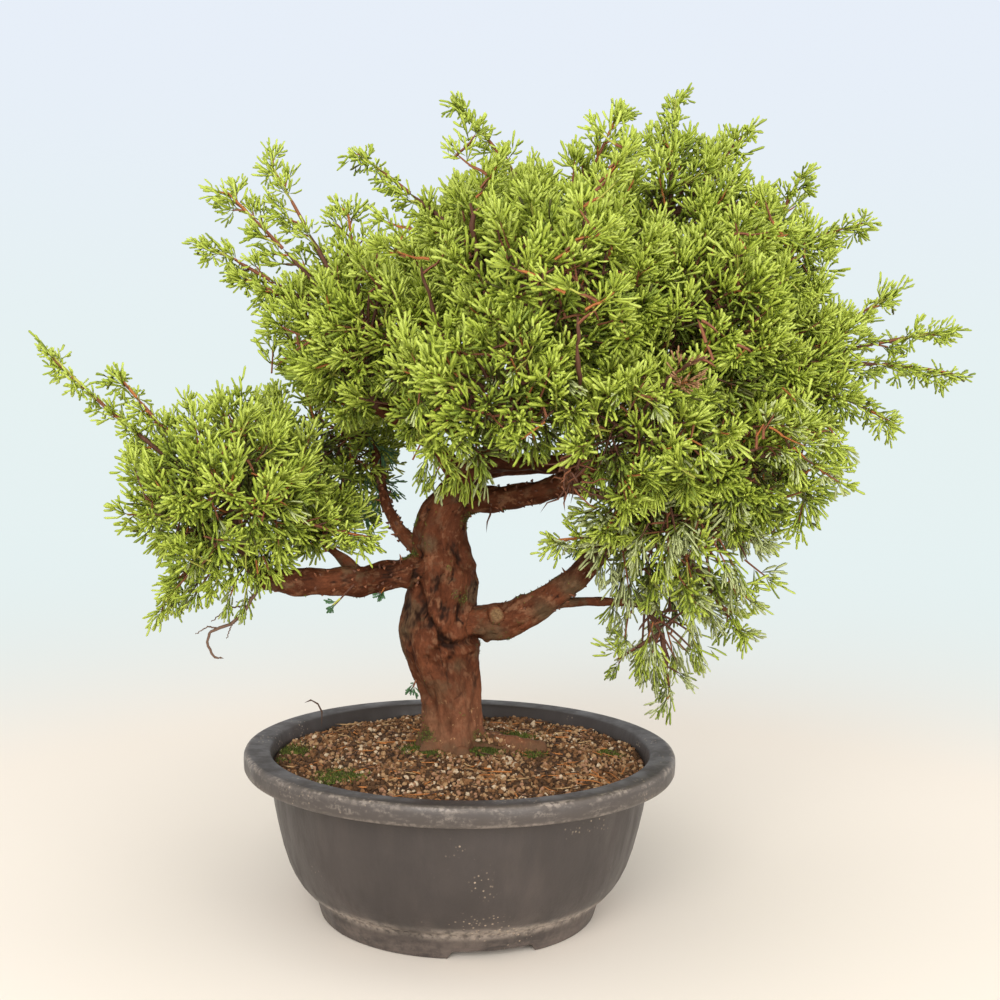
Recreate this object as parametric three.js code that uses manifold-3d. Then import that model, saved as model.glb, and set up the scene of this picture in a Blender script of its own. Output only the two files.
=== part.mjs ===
// Itoigawa Chinese juniper bonsai in a round plastic pot.
// Millimetres, +Z up, the tree's front towards -Y. Sizes are first given with the pot's axis
// on the origin, and the finished tree is then moved so that its box stands centred on it.
import * as THREE from 'three';
import { mergeVertices } from 'three/addons/utils/BufferGeometryUtils.js';
import Module from 'manifold-3d';

const wasm = await Module();
wasm.setup();

// Pot
const roundSteps = 36;
const rimRadius = 117.5;
const rimHeight = 89.3;
const rimBandHeight = 11;
const rimInnerRadius = 103.6;
const rimRounding = 2.2;
const footRadius = 75.5;
const footHeight = 13.2;
const footRingWidth = 12;
const recessHeight = 4;
const floorHeight = 12;
const notchCount = 3;
const notchFirstAngle = 284;
const notchHalfWidth = 20;
const notchSlope = 4;
const notchHeight = 3.5;

// Soil
const soilEdgeHeight = 82;
const soilTopHeight = 85;
const soilFlatRadius = 62;
const soilRings = [22, 42, 62, 82];
const soilSwell = 1.4;
const soilWave = 62;
const soilWaveStart = [0.6, 1.9];
const seatGap = 0.3;

// Foliage
const stemSides = 4;
const stemSteps = 3;
const stemTaper = 0.15;
const stemHeartShare = 0.85;
const stemBend = 8;
const twigSides = 3;
const twigRootRadius = 1.5;
const twigTipRadius = 0.8;
const twigBow = 0.1;
const shootSteps = 3;
const shootPlaces = [0.5, 0.64];
const shootWoodShare = 0.74;
const openSprayLength = 18;
const sprayOutline = [[0, 0], [0.74, 0.5], [0.7, 0.2], [1, 0], [0.7, -0.2], [0.74, -0.5]];
const sprayWidthShare = 0.88;
const sprayThickness = 2.2;
const sprayRootSunk = 6;
const sprayTries = [1, 0.84, 0.7, 0.56];
const coreLumps = 0.12;
const goldenAngle = 2.399963;
const foreignReach = 1.16;
const cellMargin = 0.045;
const limbClearance = 0.8;

const colours = {
  pot: 0x3b3a3c,
  soil: 0x7d5f45,
  bark: 0x7a4a35,
  deadWood: 0x8c7262,
  foliage: 0x6f9a3a,
  backFoliage: 0x4f7a33,
};

// Trunk rings: height, offset to the right, offset away from the front, radius
const trunkRings = [
  [85.3, -3.5, 14, 16.6],
  [92, -4, 14, 16],
  [101, -5, 13.5, 15.8],
  [116, -6, 12.5, 17.2],
  [126, -8, 11.5, 18.5],
  [137, -11.3, 10, 20.4],
  [150, -14.4, 8, 21.1],
  [161, -14.8, 6.5, 21],
  [171, -12.8, 6, 19.4],
  [181, -11.3, 6, 19.2],
  [189, -11.1, 6.5, 17.8],
  [199, -12.5, 7.5, 15.2],
  [212, -13.2, 9, 15],
  [220, -10, 9.5, 14.2],
  [228, -4.5, 10, 11.5],
  [236, 0, 11, 9],
  [246, 10.5, 12, 7],
  [256, 24, 13, 6.2],
  [280, 41, 14, 5.6],
  [313, 52, 16, 4.6],
  [345, 64, 17, 3.4],
  [372, 80, 17, 2.6],
];
const trunkSides = 14;
const trunkDepthShare = 0.92;
const trunkLobes = 4;
const trunkLobeDepth = 0.045;
const trunkTwist = 0.021;
const flareHeight = 16;
const flareShare = 0.2;
const surfaceRoot = {
  from: [6, 11, 90], tip: [44, 7, 85], leave: [-12, -8], arrive: [-5, -12],
  radii: [7, 2.6], sides: 7, steps: 6,
};
const levelSoil = { room: 20, fade: 14 };

// Boughs: on names the parent, at is a height on the trunk or a share of the parent bough.
// leave and arrive are headings: degrees round from the right, then degrees of climb.
const boughs = [
  { name: 'bough_lower_right', on: 'trunk', at: 157, tip: [86, -20, 222],
    leave: [-10, -7], arrive: [0, 62], radii: [10, 5], sides: 8 },
  { name: 'bough_lower_right_side', on: 'bough_lower_right', at: 0.42, tip: [92, -6, 170],
    leave: [20, 8], arrive: [10, -4], radii: [3.4, 2.2], sides: 5 },
  { name: 'bough_left', on: 'trunk', at: 188, tip: [-105, -36, 184],
    leave: [210, -10], arrive: [200, 8], radii: [8.8, 5.6], sides: 8 },
  { name: 'bough_left_inner', on: 'bough_left', at: 0.43, tip: [-74, -10, 198],
    leave: [165, 30], arrive: [150, 20], radii: [3.2, 2], sides: 5 },
  { name: 'bough_left_back', on: 'trunk', at: 189, tip: [-56, 58, 256],
    leave: [175, 20], arrive: [120, 55], radii: [4.6, 2.2], sides: 6 },
  { name: 'bough_upper_left', on: 'trunk', at: 232, tip: [-48, -9, 274],
    leave: [160, 62], arrive: [188, 30], radii: [6.2, 3.8], sides: 7 },
  { name: 'bough_upper_right', on: 'trunk', at: 222, tip: [62, -30, 240],
    leave: [-22, 6], arrive: [-35, 22], radii: [8, 5.6], sides: 8 },
  { name: 'bough_right_middle', on: 'bough_upper_right', at: 0.84, tip: [116, -34, 238],
    leave: [0, -20], arrive: [-5, 12], radii: [3.2, 2.2], sides: 5 },
  { name: 'bough_front_right', on: 'bough_upper_right', at: 0.93, tip: [76, -52, 253],
    leave: [-50, 45], arrive: [-70, 25], radii: [4, 2.6], sides: 5 },
  { name: 'bough_right', on: 'trunk', at: 244, tip: [160, -4, 268],
    leave: [-15, 4], arrive: [8, 32], radii: [5.4, 3], sides: 7 },
  { name: 'bough_back_right_side', on: 'bough_right', at: 0.62, tip: [148, 42, 290],
    leave: [55, 35], arrive: [60, 30], radii: [3, 2.2], sides: 5 },
  { name: 'bough_back_right_low', on: 'trunk', at: 238, tip: [106, 52, 243],
    leave: [45, 5], arrive: [30, 0], radii: [4.4, 2.6], sides: 5 },
  { name: 'bough_front', on: 'trunk', at: 250, tip: [15, -46, 271],
    leave: [-110, 25], arrive: [-90, 15], radii: [4, 2.6], sides: 5 },
  { name: 'bough_front_upper', on: 'trunk', at: 284, tip: [45, -40, 316],
    leave: [-95, 45], arrive: [-88, 20], radii: [3.6, 2.4], sides: 5 },
  { name: 'bough_right_inner', on: 'trunk', at: 296, tip: [94, -22, 314],
    leave: [-30, 20], arrive: [-35, 15], radii: [3.4, 2.4], sides: 5 },
  { name: 'bough_crown_left', on: 'trunk', at: 268, tip: [-2, -6, 334],
    leave: [170, 60], arrive: [180, 70], radii: [4.4, 2.8], sides: 5 },
  { name: 'bough_top', on: 'trunk', at: 318, tip: [44, 20, 348],
    leave: [150, 50], arrive: [110, 80], radii: [3, 2.2], sides: 5 },
  { name: 'bough_right_upper', on: 'trunk', at: 318, tip: [136, 14, 346],
    leave: [10, 20], arrive: [0, 30], radii: [3.4, 2.4], sides: 5 },
  { name: 'bough_back_left', on: 'trunk', at: 262, tip: [-26, 68, 300],
    leave: [115, 25], arrive: [130, 30], radii: [4.2, 2.8], sides: 5 },
  { name: 'bough_back_right', on: 'trunk', at: 290, tip: [76, 70, 306],
    leave: [75, 20], arrive: [70, 20], radii: [4, 2.8], sides: 5 },
  { name: 'bough_back_top', on: 'trunk', at: 338, tip: [46, 62, 370],
    leave: [105, 35], arrive: [110, 35], radii: [2.8, 2.2], sides: 5 },
];

// Masses of foliage: each fills an egg-shaped space round its centre and grows from one limb's
// tip. A dense mass has a core, given as a share of its space. Leaders are long shoots that
// stand out of a mass, each to its own tip, with a bow upwards and a length of spray.
const masses = [
  { name: 'foliage_left_pad', from: 'bough_left', centre: [-124, -37, 233],
    radii: [57, 60, 53], sprays: 24, core: 0.52, seed: 11,
    leaders: [{ tip: [-216, -44, 303], bow: -0.1, spray: 24 },
      { tip: [-181, -42, 292], bow: -0.05, spray: 24 },
      { tip: [-160, -28, 164], bow: -0.1, spray: 20 },
      { tip: [-44, -50, 207], bow: -0.06, spray: 20 }] },
  { name: 'foliage_left_inner', from: 'bough_left_inner', centre: [-78, -4, 217],
    radii: [28, 28, 26], sprays: 11, core: 0.42, seed: 12, leaders: [] },
  { name: 'foliage_left_back', from: 'bough_left_back', centre: [-88, 66, 248],
    radii: [55, 52, 55], sprays: 20, core: 0.44, seed: 13, leaders: [] },
  { name: 'foliage_upper_left', from: 'bough_upper_left', centre: [-56, -10, 316],
    radii: [52, 58, 54], sprays: 21, core: 0.52, seed: 14,
    leaders: [{ tip: [-145, -10, 360], bow: 0.03, spray: 26 },
      { tip: [-134, -4, 390], bow: 0.03, spray: 24 },
      { tip: [-110, -2, 407], bow: 0.02, spray: 26 }, { tip: [-67, 2, 384], bow: 0, spray: 20 },
      { tip: [-126, -14, 344], bow: 0, spray: 20 }] },
  { name: 'foliage_crown_left', from: 'bough_crown_left', centre: [12, -10, 357],
    radii: [50, 55, 52], sprays: 19, core: 0.52, seed: 15,
    leaders: [{ tip: [-65, -5, 411], bow: 0.03, spray: 22 }] },
  { name: 'foliage_top', from: 'bough_top', centre: [50, 16, 374],
    radii: [53, 55, 46], sprays: 19, core: 0.5, seed: 16,
    leaders: [{ tip: [-12, 4, 441], bow: 0.06, spray: 22 },
      { tip: [81, 8, 441], bow: -0.05, spray: 20 }] },
  { name: 'foliage_apex', from: 'trunk', centre: [114, 6, 380],
    radii: [57, 57, 54], sprays: 21, core: 0.5, seed: 17,
    leaders: [{ tip: [110, 5, 447], bow: 0, spray: 22 }, { tip: [149, 0, 427], bow: 0, spray: 20 }] },
  { name: 'foliage_right_upper', from: 'bough_right_upper', centre: [161, 14, 356],
    radii: [44, 48, 44], sprays: 18, core: 0.5, seed: 18,
    leaders: [{ tip: [217, 4, 380], bow: 0.08, spray: 22 }, { tip: [180, 6, 406], bow: 0, spray: 22 }] },
  { name: 'foliage_right', from: 'bough_right', centre: [168, -2, 303],
    radii: [49, 55, 50], sprays: 19, core: 0.5, seed: 19,
    leaders: [{ tip: [267, -2, 322], bow: 0.05, spray: 24 }, { tip: [272, 0, 297], bow: 0.1, spray: 24 },
      { tip: [233, -2, 343], bow: 0.02, spray: 24 }, { tip: [234, -8, 269], bow: 0.06, spray: 24 }] },
  { name: 'foliage_right_middle', from: 'bough_right_middle', centre: [146, -38, 252],
    radii: [50, 52, 47], sprays: 18, core: 0.5, seed: 20, leaders: [] },
  { name: 'foliage_right_low', from: 'bough_lower_right', centre: [118, -22, 204],
    radii: [55, 55, 50], sprays: 21, core: 0.5, seed: 21,
    leaders: [{ tip: [154, -12, 152], bow: -0.05, spray: 22 },
      { tip: [42, -48, 207], bow: 0.04, spray: 20 }] },
  { name: 'foliage_right_hanging', from: 'bough_lower_right_side', centre: [112, -2, 150],
    radii: [34, 34, 34], sprays: 12, core: 0, seed: 22,
    leaders: [{ tip: [116, 0, 114], bow: 0, spray: 20 }, { tip: [84, 0, 137], bow: 0, spray: 18 }] },
  { name: 'foliage_front', from: 'bough_front', centre: [14, -80, 286],
    radii: [55, 50, 50], sprays: 20, core: 0.5, seed: 23, leaders: [] },
  { name: 'foliage_front_upper', from: 'bough_front_upper', centre: [44, -74, 338],
    radii: [55, 52, 52], sprays: 20, core: 0.5, seed: 24, leaders: [] },
  { name: 'foliage_front_right', from: 'bough_front_right', centre: [88, -80, 266],
    radii: [52, 48, 43], sprays: 20, core: 0.5, seed: 25, leaders: [] },
  { name: 'foliage_right_inner', from: 'bough_right_inner', centre: [120, -44, 326],
    radii: [57, 52, 55], sprays: 20, core: 0.5, seed: 26, leaders: [] },
  { name: 'foliage_back_left', from: 'bough_back_left', centre: [-50, 102, 318],
    radii: [66, 57, 64], sprays: 18, core: 0.52, seed: 27, leaders: [] },
  { name: 'foliage_back_right', from: 'bough_back_right', centre: [86, 104, 322],
    radii: [64, 57, 64], sprays: 18, core: 0.52, seed: 28, leaders: [] },
  { name: 'foliage_back_top', from: 'bough_back_top', centre: [24, 86, 375],
    radii: [62, 55, 47], sprays: 17, core: 0.52, seed: 29, leaders: [] },
  { name: 'foliage_back_right_low', from: 'bough_back_right_low', centre: [142, 72, 242],
    radii: [57, 55, 52], sprays: 17, core: 0.52, seed: 30, leaders: [] },
  { name: 'foliage_back_right_side', from: 'bough_back_right_side', centre: [168, 76, 320],
    radii: [57, 55, 57], sprays: 17, core: 0.52, seed: 31, leaders: [] },
];

// Bare dead twig that hangs under the left pad
const deadTwig = {
  parent: 'bough_left', at: 0.84, side: [-107, -39, 174], low: [-130, -43, 156], hook: [-125, -43, 143],
  radii: [1.5, 0.9], sides: 5, steps: 8,
};

const up = new THREE.Vector3(0, 0, 1);
const vec = (point) => new THREE.Vector3(...point);

// A repeatable random number between 0 and 1
function seededRandom(seed) {
  let state = seed >>> 0;
  return () => {
    state = (state + 0x6d2b79f5) >>> 0;
    let t = Math.imul(state ^ (state >>> 15), 1 | state);
    t = (t + Math.imul(t ^ (t >>> 7), 61 | t)) ^ t;
    return ((t ^ (t >>> 14)) >>> 0) / 4294967296;
  };
}

function heading([turn, climb]) {
  const a = THREE.MathUtils.degToRad(turn);
  const c = THREE.MathUtils.degToRad(climb);
  return new THREE.Vector3(Math.cos(a) * Math.cos(c), Math.sin(a) * Math.cos(c), Math.sin(c));
}

function solidOf(geometry) {
  const plain = geometry.clone();
  plain.deleteAttribute('normal');
  plain.deleteAttribute('uv');
  const merged = mergeVertices(plain, 1e-4);
  return new wasm.Manifold(new wasm.Mesh({
    numProp: 3,
    vertProperties: new Float32Array(merged.attributes.position.array),
    triVerts: new Uint32Array(merged.index.array),
  }));
}

// The one outer body of a joined solid: loose scraps and sealed hollows go
function mainBody(solid, evenOut = 0.02) {
  const parts = solid.simplify(evenOut).decompose();
  return parts.reduce((best, part) => (part.volume() > best.volume() ? part : best));
}

function geometryOf(solid) {
  const mesh = solid.getMesh();
  const geometry = new THREE.BufferGeometry();
  geometry.setAttribute('position', new THREE.BufferAttribute(new Float32Array(mesh.vertProperties), 3));
  geometry.setIndex(new THREE.BufferAttribute(new Uint32Array(mesh.triVerts), 1));
  geometry.computeVertexNormals();
  return geometry;
}

// A closed tube round a line of points: radiusAt gives the radius for a ring and an angle
function tube(points, sides, radiusAt, firstDirection) {
  const positions = [];
  const index = [];
  let across = null;
  points.forEach((point, ring) => {
    const ahead = points[Math.min(ring + 1, points.length - 1)];
    const behind = points[Math.max(ring - 1, 0)];
    const along = ring === 0 && firstDirection ? firstDirection : ahead.clone().sub(behind).normalize();
    const start = across || new THREE.Vector3(...(Math.abs(along.x) < 0.9 ? [1, 0, 0] : [0, 1, 0]));
    across = start.clone().addScaledVector(along, -start.dot(along)).normalize();
    const other = along.clone().cross(across);
    for (let side = 0; side < sides; side += 1) {
      const angle = (side / sides) * Math.PI * 2;
      const r = radiusAt(ring, angle);
      const corner = point.clone()
        .addScaledVector(across, Math.cos(angle) * r)
        .addScaledVector(other, Math.sin(angle) * r);
      positions.push(corner.x, corner.y, corner.z);
    }
  });
  for (let ring = 0; ring < points.length - 1; ring += 1) {
    for (let side = 0; side < sides; side += 1) {
      const a = ring * sides + side;
      const b = ring * sides + ((side + 1) % sides);
      index.push(a, b, b + sides, a, b + sides, a + sides);
    }
  }
  const last = (points.length - 1) * sides;
  for (let side = 1; side < sides - 1; side += 1) {
    index.push(0, side + 1, side);
    index.push(last, last + side, last + side + 1);
  }
  const geometry = new THREE.BufferGeometry();
  geometry.setAttribute('position', new THREE.Float32BufferAttribute(positions, 3));
  geometry.setIndex(index);
  return geometry;
}

function lathe(outline) {
  const geometry = new THREE.LatheGeometry(outline.map(([r, z]) => new THREE.Vector2(r, z)), roundSteps);
  geometry.rotateX(Math.PI / 2);
  return geometry;
}

// Pot: bowl wall on an inset foot ring, thick rim band, three notches in the foot
function makePot() {
  const rimFoot = rimHeight - rimBandHeight;
  const body = lathe([
    [0, recessHeight],
    [footRadius - footRingWidth - 1.5, recessHeight],
    [footRadius - footRingWidth, 0],
    [footRadius, 0],
    [80, footHeight],
    [84.6, 16],
    [90.6, 24.5],
    [96.2, 39],
    [101, 60],
    [103.3, rimFoot],
    [rimRadius - rimRounding, rimFoot],
    [rimRadius, rimFoot + rimRounding],
    [rimRadius, rimHeight - rimRounding],
    [rimRadius - rimRounding, rimHeight],
    [rimInnerRadius, rimHeight],
    ...innerWall(0),
    [0, floorHeight],
  ]);
  let pot = solidOf(body);
  for (let i = 0; i < notchCount; i += 1) {
    const outline = new THREE.Shape([
      new THREE.Vector2(-notchHalfWidth - notchSlope, -1),
      new THREE.Vector2(notchHalfWidth + notchSlope, -1),
      new THREE.Vector2(notchHalfWidth, notchHeight),
      new THREE.Vector2(-notchHalfWidth, notchHeight),
    ]);
    const notch = new THREE.ExtrudeGeometry(outline, { depth: rimRadius, bevelEnabled: false });
    notch.rotateX(Math.PI / 2);
    notch.rotateZ(THREE.MathUtils.degToRad(notchFirstAngle + 90 + (i * 360) / notchCount));
    pot = pot.subtract(solidOf(notch));
  }
  return geometryOf(mainBody(pot));
}

// The pot's inner wall from its lip down to its floor, drawn in by a gap
function innerWall(gap) {
  return [[98.5 - gap, 60], [87 - gap, 24 + gap], [76 - gap, floorHeight + gap]];
}

// How far the soil rises or sinks at a place: soft rises, level round the trunk and its root
function soilRise(x, y) {
  const [, footX, footY] = trunkRings[0];
  const [rootX, rootY] = surfaceRoot.tip;
  const run = new THREE.Line3(new THREE.Vector3(footX, footY, 0), new THREE.Vector3(rootX, rootY, 0));
  const place = new THREE.Vector3(x, y, 0);
  const away = run.closestPointToPoint(place, true, new THREE.Vector3()).distanceTo(place);
  const share = THREE.MathUtils.clamp((away - levelSoil.room) / levelSoil.fade, 0, 1);
  const turn = (Math.PI * 2) / soilWave;
  return soilSwell * share * Math.sin(turn * x + soilWaveStart[0]) * Math.sin(turn * y + soilWaveStart[1]);
}

function makeSoil() {
  const lip = rimInnerRadius - 98.5;
  const edgeShare = (soilEdgeHeight - 60) / (rimHeight - 60);
  const edge = [98.5 + lip * edgeShare - seatGap - 0.1, soilEdgeHeight];
  const slope = (soilTopHeight - soilEdgeHeight) / (edge[0] - soilFlatRadius);
  const top = soilRings.map((r) => [r, soilTopHeight - slope * Math.max(0, r - soilFlatRadius)]);
  const geometry = lathe([
    [0, floorHeight + seatGap],
    ...innerWall(seatGap + 0.1).reverse(),
    edge,
    ...top.reverse(),
    [0, soilTopHeight],
  ]);
  const place = geometry.attributes.position;
  for (let i = 0; i < place.count; i += 1) {
    const z = place.getZ(i);
    if (z > soilEdgeHeight + seatGap) place.setZ(i, z + soilRise(place.getX(i), place.getY(i)));
  }
  return geometry;
}

// Trunk: swept through its rings, with slow twisting lobes and a flared foot
const trunkLine = trunkRings.map(([z, x, y]) => new THREE.Vector3(x, y, z));

function trunkRadius(ring, angle, extra) {
  const [height, , , radius] = trunkRings[ring];
  const aboveSoil = height - soilTopHeight - seatGap;
  const flare = flareShare * Math.max(0, 1 - aboveSoil / flareHeight) ** 2;
  const lobe = trunkLobeDepth * Math.sin(trunkLobes * (angle + aboveSoil * trunkTwist));
  const depth = 1 - (1 - trunkDepthShare) * Math.sin(angle) ** 2;
  return radius * depth * (1 + lobe + flare * (1 + Math.cos(trunkLobes * angle)) * 0.5) + extra;
}

function trunkSolid(extra) {
  const points = trunkLine.map((point) => point.clone());
  points[0].z -= extra;
  return solidOf(tube(points, trunkSides, (ring, angle) => trunkRadius(ring, angle, extra), up));
}

function makeTrunk() {
  const root = curveBetween(vec(surfaceRoot.from), surfaceRoot);
  const rootTube = taperedTube(root, surfaceRoot.radii, surfaceRoot.sides, surfaceRoot.steps);
  const below = new THREE.BoxGeometry(200, 200, 40);
  below.translate(0, 0, soilTopHeight + seatGap - 20);
  return mainBody(trunkSolid(0).add(solidOf(rootTube)).subtract(solidOf(below)));
}

// A smooth line that leaves its start one way and arrives at its tip another
function curveBetween(start, limb) {
  const tip = vec(limb.tip);
  const handle = start.distanceTo(tip) * 0.4;
  const first = start.clone().addScaledVector(heading(limb.leave), handle);
  const second = tip.clone().addScaledVector(heading(limb.arrive), -handle);
  return new THREE.CubicBezierCurve3(start, first, second, tip);
}

function taperedTube(curve, [rootRadius, tipRadius], sides, steps, extra = 0) {
  const points = curve.getPoints(steps);
  const radiusAt = (ring) => {
    const share = ring / steps;
    const collar = 0.28 * Math.max(0, 1 - share * 4) ** 2;
    return (rootRadius + (tipRadius - rootRadius) * share) * (1 + collar) + extra;
  };
  return tube(points, sides, radiusAt);
}

function trunkPointAt(height) {
  const above = trunkRings.findIndex(([z]) => z >= height);
  const [lowZ] = trunkRings[above - 1];
  const [highZ] = trunkRings[above];
  return trunkLine[above - 1].clone().lerp(trunkLine[above], (height - lowZ) / (highZ - lowZ));
}

// Every limb as its line and radii, for growing other limbs and for keeping foliage clear
const limbLines = new Map();

function rememberLimb(name, points, radii) {
  limbLines.set(name, { points, radii });
}

function growBoughs() {
  const solids = new Map([['trunk', makeTrunk()]]);
  const roomy = new Map([['trunk', trunkSolid(seatGap)]]);
  rememberLimb('trunk', trunkLine, trunkRings.map(([, , , radius]) => radius * 1.06));
  for (const bough of boughs) {
    const parent = limbLines.get(bough.on);
    const start = bough.on === 'trunk'
      ? trunkPointAt(bough.at)
      : parent.points[Math.round(bough.at * (parent.points.length - 1))].clone();
    const curve = curveBetween(start, bough);
    const steps = Math.max(5, Math.round(curve.getLength() / 14));
    const whole = solidOf(taperedTube(curve, bough.radii, bough.sides, steps));
    solids.set(bough.name, mainBody(whole.subtract(roomy.get(bough.on)), 0.12));
    roomy.set(bough.name, solidOf(taperedTube(curve, bough.radii, bough.sides, steps, seatGap)));
    const [rootRadius, tipRadius] = bough.radii;
    const points = curve.getPoints(steps);
    const radii = points.map((_, i) => rootRadius + (tipRadius - rootRadius) * (i / steps));
    rememberLimb(bough.name, points, radii);
  }
  return { solids, roomy };
}

function makeDeadTwig(roomy) {
  const { parent, at, side, low, hook, radii, sides, steps } = deadTwig;
  const line = limbLines.get(parent).points;
  const start = line[Math.round(at * (line.length - 1))].clone();
  const curve = new THREE.CatmullRomCurve3([start, vec(side), vec(low), vec(hook)]);
  const twig = solidOf(taperedTube(curve, radii, sides, steps)).subtract(roomy.get(parent));
  rememberLimb('dead_twig_left', curve.getPoints(steps), new Array(steps + 1).fill(radii[0]));
  roomy.set('dead_twig_left', solidOf(taperedTube(curve, radii, sides, steps, seatGap)));
  return mainBody(twig);
}

// Shortest distance between two straight stretches
function stretchGap(a, b, c, d) {
  const ab = b.clone().sub(a);
  const cd = d.clone().sub(c);
  const ca = a.clone().sub(c);
  const abab = ab.dot(ab);
  const cdcd = cd.dot(cd);
  const abcd = ab.dot(cd);
  const abca = ab.dot(ca);
  const cdca = cd.dot(ca);
  const denominator = abab * cdcd - abcd * abcd;
  const clamp = (x) => Math.min(1, Math.max(0, x));
  let s = denominator > 1e-9 ? clamp((abcd * cdca - cdcd * abca) / denominator) : 0;
  const t = clamp((abcd * s + cdca) / cdcd);
  s = clamp((abcd * t - abca) / abab);
  return a.clone().addScaledVector(ab, s).distanceTo(c.clone().addScaledVector(cd, t));
}

function clearOfLimbs(a, b, radius) {
  for (const { points, radii } of limbLines.values()) {
    for (let i = 0; i < points.length - 1; i += 1) {
      const room = Math.max(radii[i], radii[i + 1]) * 1.08 + radius + limbClearance;
      if (stretchGap(a, b, points[i], points[i + 1]) < room) return false;
    }
  }
  return true;
}

// How far out of a mass's space a point is: 1 on its surface
function reachIn(mass, point) {
  const [x, y, z] = mass.centre;
  const [rx, ry, rz] = mass.radii;
  return Math.hypot((point.x - x) / rx, (point.y - y) / ry, (point.z - z) / rz);
}

function ownsPoint(mass, point) {
  const own = reachIn(mass, point) + cellMargin;
  return masses.every((other) => {
    if (other === mass) return true;
    const theirs = reachIn(other, point);
    return theirs > own || theirs > foreignReach;
  });
}

function ownsStretch(mass, a, b) {
  const steps = Math.ceil(a.distanceTo(b) / 3);
  for (let i = 0; i <= steps; i += 1) {
    if (!ownsPoint(mass, a.clone().lerp(b, i / steps))) return false;
  }
  return true;
}

function fits(mass, points, radius) {
  return points.slice(1).every((point, i) => (
    ownsStretch(mass, points[i], point) && clearOfLimbs(points[i], point, radius)
  ));
}

// Directions spread evenly over a ball by the golden angle
function evenDirection(i, count, random) {
  const height = 1 - (2 * (i + 0.5)) / count;
  const turn = i * goldenAngle + (random() - 0.5) * 0.6;
  const out = Math.sqrt(1 - height * height);
  return new THREE.Vector3(Math.cos(turn) * out, Math.sin(turn) * out, height);
}

function pointIn(mass, direction, share) {
  return direction.clone().multiply(vec(mass.radii)).multiplyScalar(share).add(vec(mass.centre));
}

// How far a dense mass's core reaches one way before it would leave the mass's own space
function coreShare(mass, direction, share = mass.core) {
  let reach = share;
  while (reach > 0.15 && !ownsPoint(mass, pointIn(mass, direction, reach))) reach -= 0.02;
  return reach;
}

// A spray: a thin toothed blade, fanned out to three points, with a raised rib
function sprayGeometry(root, tip, flat, width) {
  const along = tip.clone().sub(root);
  const side = along.clone().cross(flat).normalize();
  const edge = sprayOutline.map(([far, out]) => (
    root.clone().addScaledVector(along, far).addScaledVector(side, out * width)
  ));
  const rib = root.clone().addScaledVector(along, 0.5);
  const corners = [
    ...edge,
    rib.clone().addScaledVector(flat, sprayThickness / 2),
    rib.clone().addScaledVector(flat, -sprayThickness / 2),
  ];
  const count = edge.length;
  const index = edge.flatMap((_, i) => {
    const next = (i + 1) % count;
    return [i, next, count, next, i, count + 1];
  });
  const geometry = new THREE.BufferGeometry();
  const numbers = corners.flatMap((corner) => corner.toArray());
  geometry.setAttribute('position', new THREE.Float32BufferAttribute(numbers, 3));
  geometry.setIndex(index);
  return { geometry, outline: [...edge.slice(1), edge[1]] };
}

// A spray is tried at smaller sizes until it stays in its mass's space and off the limbs
function addSpray(mass, pieces, root, tip, random) {
  const turn = random() * Math.PI;
  for (const share of sprayTries) {
    const end = root.clone().lerp(tip, share);
    const along = end.clone().sub(root);
    const flat = along.clone().cross(up).normalize().applyAxisAngle(along.clone().normalize(), turn);
    const { geometry, outline } = sprayGeometry(root, end, flat, along.length() * sprayWidthShare);
    if (fits(mass, [root, end], 0) && fits(mass, outline, sprayThickness / 2)) {
      pieces.push(geometry);
      return;
    }
  }
}

// Dense mass: each twig leaves the core as one spray that leans a little off its way out
function addSpraysOnCore(mass, pieces, random) {
  for (let i = 0; i < mass.sprays; i += 1) {
    const direction = evenDirection(i, mass.sprays, random);
    const lean = new THREE.Vector3(random() - 0.5, random() - 0.5, random() - 0.3).multiplyScalar(0.5);
    const share = coreShare(mass, direction) - sprayRootSunk / Math.min(...mass.radii);
    const far = coreShare(mass, direction.clone().add(lean).normalize(), 0.94 + random() * 0.12);
    addSpray(mass, pieces, pointIn(mass, direction, share),
      pointIn(mass, direction.clone().add(lean).normalize(), far), random);
  }
}

// Open mass: bare twigs from the stem, each with a spray at its end and one on either side
function addTwigs(mass, pieces, stem, random) {
  const count = Math.ceil(mass.sprays / 3);
  for (let i = 0; i < count; i += 1) {
    const direction = evenDirection(i, count, random);
    const start = stem.getPoint(0.55 + 0.45 * random());
    const tip = pointIn(mass, direction, 0.94 + random() * 0.12);
    const middle = start.clone().lerp(tip, 0.5).addScaledVector(up, twigBow * start.distanceTo(tip));
    addShoot(mass, pieces, [start, middle, tip], openSprayLength, random);
  }
}

// A shoot with two sprays set alternately along it and a last one that reaches its tip
function addShoot(mass, pieces, [start, middle, tip], sprayLength, random) {
  const curve = new THREE.QuadraticBezierCurve3(start, middle, tip);
  const points = [];
  for (let i = 0; i <= shootSteps; i += 1) {
    points.push(curve.getPoint((shootWoodShare * i) / shootSteps));
  }
  if (!fits(mass, points, twigRootRadius)) return;
  const radiusAt = (ring) => twigRootRadius + (twigTipRadius - twigRootRadius) * (ring / shootSteps);
  pieces.push(tube(points, twigSides, radiusAt));
  shootPlaces.forEach((share, i) => {
    const at = curve.getPoint(share);
    const along = curve.getTangent(share);
    const aside = along.clone().cross(up).normalize().applyAxisAngle(along, (random() - 0.5) * 1.2);
    const way = along.multiplyScalar(0.8).addScaledVector(aside, i % 2 ? 0.7 : -0.7).normalize();
    addSpray(mass, pieces, at, at.clone().addScaledVector(way, sprayLength), random);
  });
  addSpray(mass, pieces, curve.getPoint(shootWoodShare - 0.06), tip, random);
}

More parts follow.
